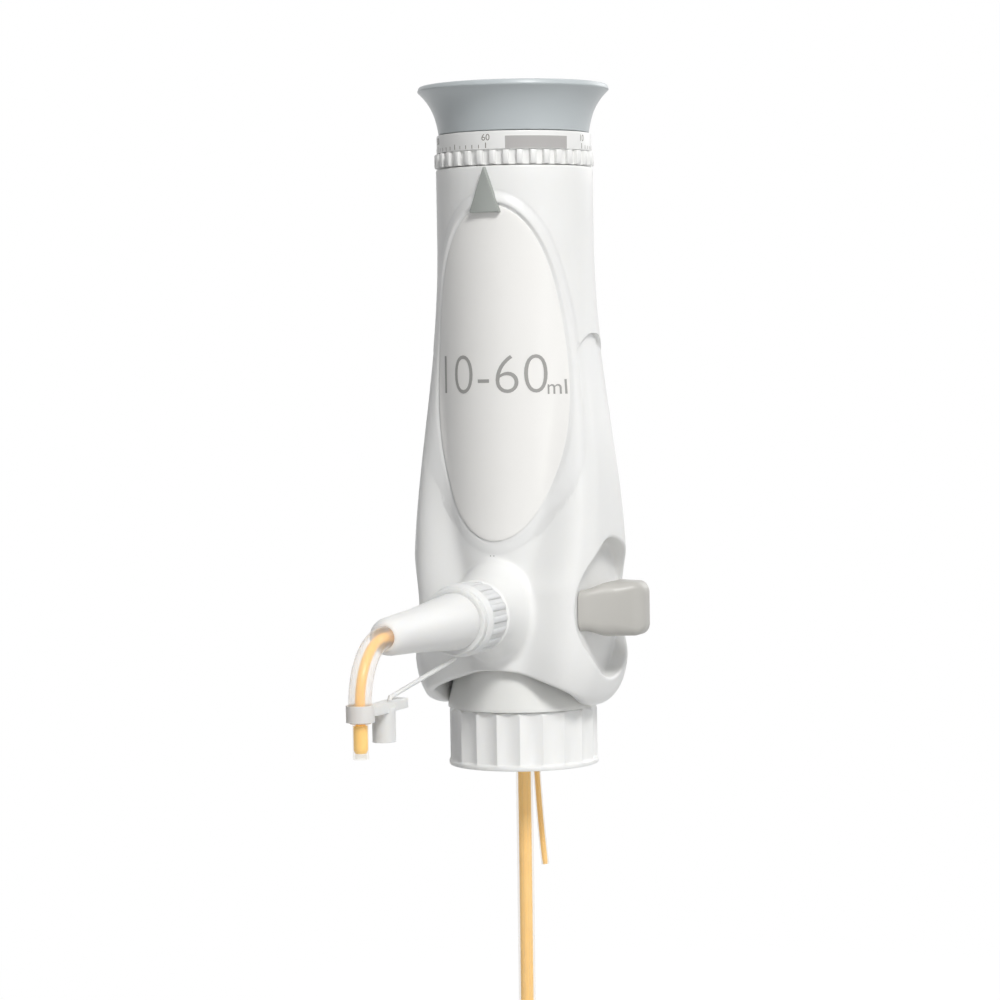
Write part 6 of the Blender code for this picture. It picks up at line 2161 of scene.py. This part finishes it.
@dataclass
class ValveKnob:
    """The grey knob: a round hub and a grip that narrows along it and widens across it."""

    height: float = 41.5 * MM
    hub_radius: float = 7.4 * MM
    hub_thickness: float = 2.7 * MM
    base_half_length: float = 19.0 * MM
    tip_half_length: float = 4.5 * MM
    base_half_width: float = 7.3 * MM
    grip_half_width: float = 9.8 * MM
    tip_round: float = 4.2 * MM
    stations: int = 26
    station_power: float = 1.35
    length_power: float = 0.75
    waist_share: float = 0.4

    def section(self, place: float, length: float, width: float) -> list[tuple]:
        """A rounded section across X.

        Args:
            place: Its place along X.
            length: Half its length along Y.
            width: Half its width along Z.

        Returns:
            Its points.
        """
        corner = min(length, width) * 0.5
        ring = []
        for quarter in range(4):
            y = (length - corner) * (1 if quarter in (0, 3) else -1)
            z = (width - corner) * (1 if quarter in (0, 1) else -1)
            for i in range(9):
                angle = math.radians(90) * (quarter + i / 8)
                ring.append((place, y + corner * math.cos(angle),
                             self.height + z + corner * math.sin(angle)))
        return ring

    def build(self) -> None:
        """Make the knob."""
        back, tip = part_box("valve_knob")[0].x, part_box("valve_knob")[1].x
        rows = []
        for i in range(self.stations + 1):
            share = 1 - (1 - i / self.stations) ** self.station_power
            length = self.tip_half_length + (self.base_half_length - self.tip_half_length) * (
                1 - share ** self.length_power)
            width = self.grip_half_width - (self.grip_half_width - self.base_half_width) * float(
                half_cosine(share, 0, self.waist_share))
            left = (1 - share) * (tip - back)
            shrink = 0.0
            if left < self.tip_round:
                shrink = self.tip_round - math.sqrt(
                    self.tip_round ** 2 - (self.tip_round - left) ** 2)
            rows.append(self.section(back + share * (tip - back), length - 0.6 * shrink,
                                     width - shrink))
        grip = smooth(ringed("grip", rows, True), 45)
        hub = moved(lathe("hub", [(0, back), (self.hub_radius, back, 0.2 * MM),
                                  (self.hub_radius, back + self.hub_thickness, 0.8 * MM),
                                  (0, back + self.hub_thickness)], 120),
                    sideways(self.height))
        knob = dress(merged("valve_grip", [grip, hub]), Finish.KNOB)
        mount(knob, "knob", "knob_plastic", "valve_knob")


@dataclass
class HangingTubes:
    """The suction tube, the return tube and the liquid in them."""

    suction_radius: float = 3.15 * MM
    suction_wall: float = 0.8 * MM
    suction_sway: float = -1.6 * MM
    return_radius: float = 1.5 * MM
    return_wall: float = 0.5 * MM
    return_sway: float = 3.5 * MM
    return_offset: float = 11.0 * MM
    barb_end: float = -15.5 * MM
    points: int = 40

    def line(self, top: Vector, bottom: float, sway: float) -> list[Vector]:
        """A tube's line, which drifts aside as it hangs."""
        return [Vector((top.x + sway * (i / self.points) ** 2, top.y,
                        top.z + (bottom - top.z) * i / self.points))
                for i in range(self.points + 1)]

    def tube(self, node: str, radius: float, wall: float, sway: float, offset: float,
             liquid_from: float) -> None:
        """A hanging tube with its real wall and the liquid in it.

        Args:
            node: The CAD node that it stands for.
            radius: Its outer radius.
            wall: Its wall.
            sway: How far its end drifts along X.
            offset: Its place along Y.
            liquid_from: How far below its top the liquid starts.
        """
        low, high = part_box(node)
        path = self.line(Vector((0, offset, high.z)), low.z + 0.06 * MM, sway)
        bore = radius - wall
        tube = swept(f"{node}_clear", path, [(radius, 0), (radius, 1), (bore, 1), (bore, 0)], 40)
        mount(dress(tube, Finish.TUBE), "body", "tube_plastic", node)
        first = liquid_from / (high.z - low.z)
        liquid = swept(f"{node}_liquid", path, [
            (bore, first), (bore, 0.975), (bore * 0.8, 1 - 0.5 / self.points),
            (CLOSED, 0.975), (CLOSED, first)], 32)
        mount(dress(liquid, Finish.LIQUID), "body", "tube_plastic")

    def build(self) -> None:
        """Make both tubes."""
        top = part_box("suction_tube")[1].z
        self.tube("suction_tube", self.suction_radius, self.suction_wall, self.suction_sway,
                  0.0, top - self.barb_end + 1.0 * MM)
        self.tube("recirculation_tube", self.return_radius, self.return_wall,
                  self.return_sway, self.return_offset, 2.0 * MM)


@dataclass
class LiftSleeve:
    """The sleeve that carries the handle, with its catch and its two key slots."""

    radius: float = 19.2 * MM
    wall: float = 2.5 * MM
    catch: float = 22.4 * MM
    catch_height: float = 2.4 * MM
    slot_half_width: float = 2.8 * MM
    slot_top: float = 207.7 * MM

    def build(self) -> None:
        """Make the sleeve."""
        low, high = (corner.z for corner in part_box("lift_sleeve"))
        inner = self.radius - self.wall
        sleeve = lathe("sleeve", [(inner, low, 0.2 * MM), (self.catch, low, EDGE),
                                  (self.catch, low + self.catch_height, 0.4 * MM),
                                  (self.radius, low + self.catch_height, 0.4 * MM),
                                  (self.radius, high, EDGE), (inner, high, EDGE)], 120)
        bottom = low + self.catch_height
        half = self.slot_half_width
        points = [(x, y, z) for z in (bottom, self.slot_top) for x, y in
                  ((-half, -2 * self.radius), (half, -2 * self.radius),
                   (half, 2 * self.radius), (-half, 2 * self.radius))]
        faces = [(0, 1, 2, 3), (4, 5, 6, 7), (0, 1, 5, 4), (1, 2, 6, 5), (2, 3, 7, 6),
                 (3, 0, 4, 7)]
        joined(sleeve, mesh_object("slots", points, faces), "DIFFERENCE")
        mount(dress(smooth(sleeve, 34), Finish.HANDLE), "plunger", "handle_plastic",
              "lift_sleeve")


def keep_rest() -> None:
    """Finish the CAD nodes that show as they are."""
    keep(Finish.BLOCK, "retaining_flange", "filling_valve_body", "discharge_valve_body",
         "barrel_guide", "dial_thread_sleeve", "piston_rod", "piston_head",
         "recirculation_stem")
    keep(Finish.SEAL, "neck_gasket", "barrel_seal", "nozzle_seal", "piston_seal_1",
         "piston_seal_2")
    keep(Finish.RUBBER, "stem_oring")
    keep(Finish.STOP, "stop_ring")
    keep(Finish.GLASS, "glass_barrel", "filling_valve_ball", "discharge_valve_ball")
    keep(Finish.STEEL, "handle_screw", "discharge_spring")


# Studio


@dataclass
class Studio:
    """Camera, lamps, world and floor."""

    position: tuple[float, float, float] = (0.4103, -1.069, 0.1353)
    heading: float = math.radians(21.36)
    pitch: float = math.radians(-2.74)
    roll: float = math.radians(-0.98)
    lens: float = 112.9
    floor_gap: float = 1.0 * MM
    floor_lift: float = 0.64
    floor_reach: float = 6.0
    floor_greys: tuple[float, float] = (0.58, 0.62)
    floor_fade: tuple[float, float] = (0.25, 0.75)
    world_colour: Colour = (0.93, 0.945, 0.96)
    world_strength: tuple[float, float] = (0.02, 0.44)
    aim: tuple[float, float, float] = (0.0, 0.0, 0.1)
    lamps: tuple[tuple, ...] = (
        ("right_key", (0.95, -1.1, 1.35), 0.45, 23.0, (1.0, 0.995, 0.98)),
        ("low_right", (1.5, -0.8, -0.15), 0.8, 3.5),
        ("front_fill", (0.3, -1.9, 0.4), 1.2, 1.4, (0.97, 0.98, 1.0)),
        ("top_soft", (0.0, -0.2, 1.7), 1.4, 4.0),
        ("back_rim", (0.6, 1.4, 0.7), 0.9, 5.0))

    def camera(self) -> None:
        """Set the scene's camera at the photograph's angle."""
        camera = bpy.data.cameras.new("photo_camera")
        camera.lens = self.lens
        camera.sensor_width = 36.0
        camera.clip_start, camera.clip_end = 0.01, 50.0
        obj = new_object("photo_camera", camera)
        obj.matrix_world = (Matrix.Translation(self.position)
                            @ Matrix.Rotation(self.heading, 4, "Z")
                            @ Matrix.Rotation(math.radians(90) + self.pitch, 4, "X")
                            @ Matrix.Rotation(self.roll, 4, "Z"))
        bpy.context.scene.camera = obj

    def lamp(self, name: str, place: tuple[float, float, float], size: float,
             power: float, colour: Colour = (1.0, 1.0, 1.0)) -> None:
        """Add a square soft box that faces the object.

        Args:
            name: Name of the lamp.
            place: Where it stands.
            size: Length of its side.
            power: Its power in watts.
            colour: Its linear colour.
        """
        light = bpy.data.lights.new(name, "AREA")
        light.shape = "SQUARE"
        light.size = size
        light.energy = power
        light.color = colour
        obj = new_object(name, light)
        aim = Vector(self.aim) - Vector(place)
        obj.matrix_world = (Matrix.Translation(place)
                            @ aim.to_track_quat("-Z", "Y").to_matrix().to_4x4())

    def seen_directly(self, tree: bpy.types.NodeTree) -> bpy.types.NodeSocket:
        """A factor of 1 where the camera, a reflection or a view through glass looks."""
        path = add_node(tree, "ShaderNodeLightPath").outputs
        direct = math_node(tree, "MAXIMUM", path["Is Camera Ray"], path["Is Transmission Ray"])
        return math_node(tree, "MAXIMUM", direct, path["Is Glossy Ray"])

    @staticmethod
    def mixed(tree: bpy.types.NodeTree, factor: bpy.types.NodeSocket, first: bpy.types.Node,
              second: bpy.types.Node) -> bpy.types.Node:
        """A Mix Shader from one shader at a factor of 0 to another at 1."""
        mix = add_node(tree, "ShaderNodeMixShader")
        for socket, source in zip(mix.inputs, (factor, first.outputs[0], second.outputs[0])):
            tree.links.new(source, socket)
        return mix

    def world(self) -> None:
        """A pale room, brighter towards +X, that looks white to the camera."""
        world = bpy.data.worlds.new("pale_room")
        world.use_nodes = True
        tree = world.node_tree
        place = tree.nodes.new("ShaderNodeTexCoord").outputs["Generated"]
        split = add_node(tree, "ShaderNodeSeparateXYZ", Vector=place)
        low, high = self.world_strength
        side = add_node(tree, "ShaderNodeMapRange", Value=split.outputs["X"], From_Min=-1.0,
                        To_Min=low, To_Max=high)
        room = fill(tree, tree.nodes["Background"], Color=(*self.world_colour, 1.0),
                    Strength=side.outputs["Result"])
        white = add_node(tree, "ShaderNodeBackground", Color=(1, 1, 1, 1), Strength=1.0)
        mix = self.mixed(tree, self.seen_directly(tree), room, white)
        fill(tree, tree.nodes["World Output"], Surface=mix.outputs[0])
        bpy.context.scene.world = world

    def floor(self) -> None:
        """A white floor below the tube, which keeps the shadow and whitens with distance."""
        low = CAD_BOX[0][2] - self.floor_gap
        corners = [(x * self.floor_reach, y * self.floor_reach, low)
                   for x, y in ((-1, -1), (1, -1), (1, 1), (-1, 1))]
        floor = mesh_object("studio_floor", corners, [(0, 1, 2, 3)])
        material, tree, shader = new_material("studio_floor")
        grain = noise_node(tree, object_coordinates(tree), 40.0)
        grey = colour_mix(tree, grain, *[(c, c, c, 1) for c in self.floor_greys])
        fill(tree, shader, Base_Color=grey, Roughness=0.9)
        place = add_node(tree, "ShaderNodeVectorMath", {"operation": "LENGTH"})
        tree.links.new(object_coordinates(tree), place.inputs[0])
        start, end = self.floor_fade
        far = add_node(tree, "ShaderNodeMapRange", {"interpolation_type": "SMOOTHSTEP"},
                       Value=place.outputs["Value"], From_Min=start, From_Max=end)
        direct = self.seen_directly(tree)
        factor = math_node(tree, "MULTIPLY", far.outputs["Result"], direct)
        lift = add_node(tree, "ShaderNodeEmission",
                        Strength=math_node(tree, "MULTIPLY", direct, self.floor_lift))
        lit = add_node(tree, "ShaderNodeAddShader")
        tree.links.new(shader.outputs[0], lit.inputs[0])
        tree.links.new(lift.outputs[0], lit.inputs[1])
        glow = add_node(tree, "ShaderNodeEmission", Strength=1.0)
        blend = self.mixed(tree, factor, lit, glow)
        fill(tree, tree.nodes["Material Output"], Surface=blend.outputs[0])
        floor.data.materials.append(material)

    def build(self) -> None:
        """Set the camera, the lamps, the world and the floor."""
        bpy.context.scene.view_settings.view_transform = "Standard"
        self.camera()
        self.world()
        self.floor()
        for lamp in self.lamps:
            self.lamp(*lamp)


def main() -> None:
    """Build every sub-assembly, then the studio."""
    logging.basicConfig(level=logging.INFO, format="%(name)s: %(message)s")
    for part in (Housing(), LabelAndPointer(), Dial(), Handle(), LiftSleeve(), ScrewCollar(),
                 ValveBlock(), Nozzle(), Cap(), ValveKnob(), HangingTubes()):
        part.build()
    keep_rest()
    Studio().build()


if __name__ == "__main__":
    main()
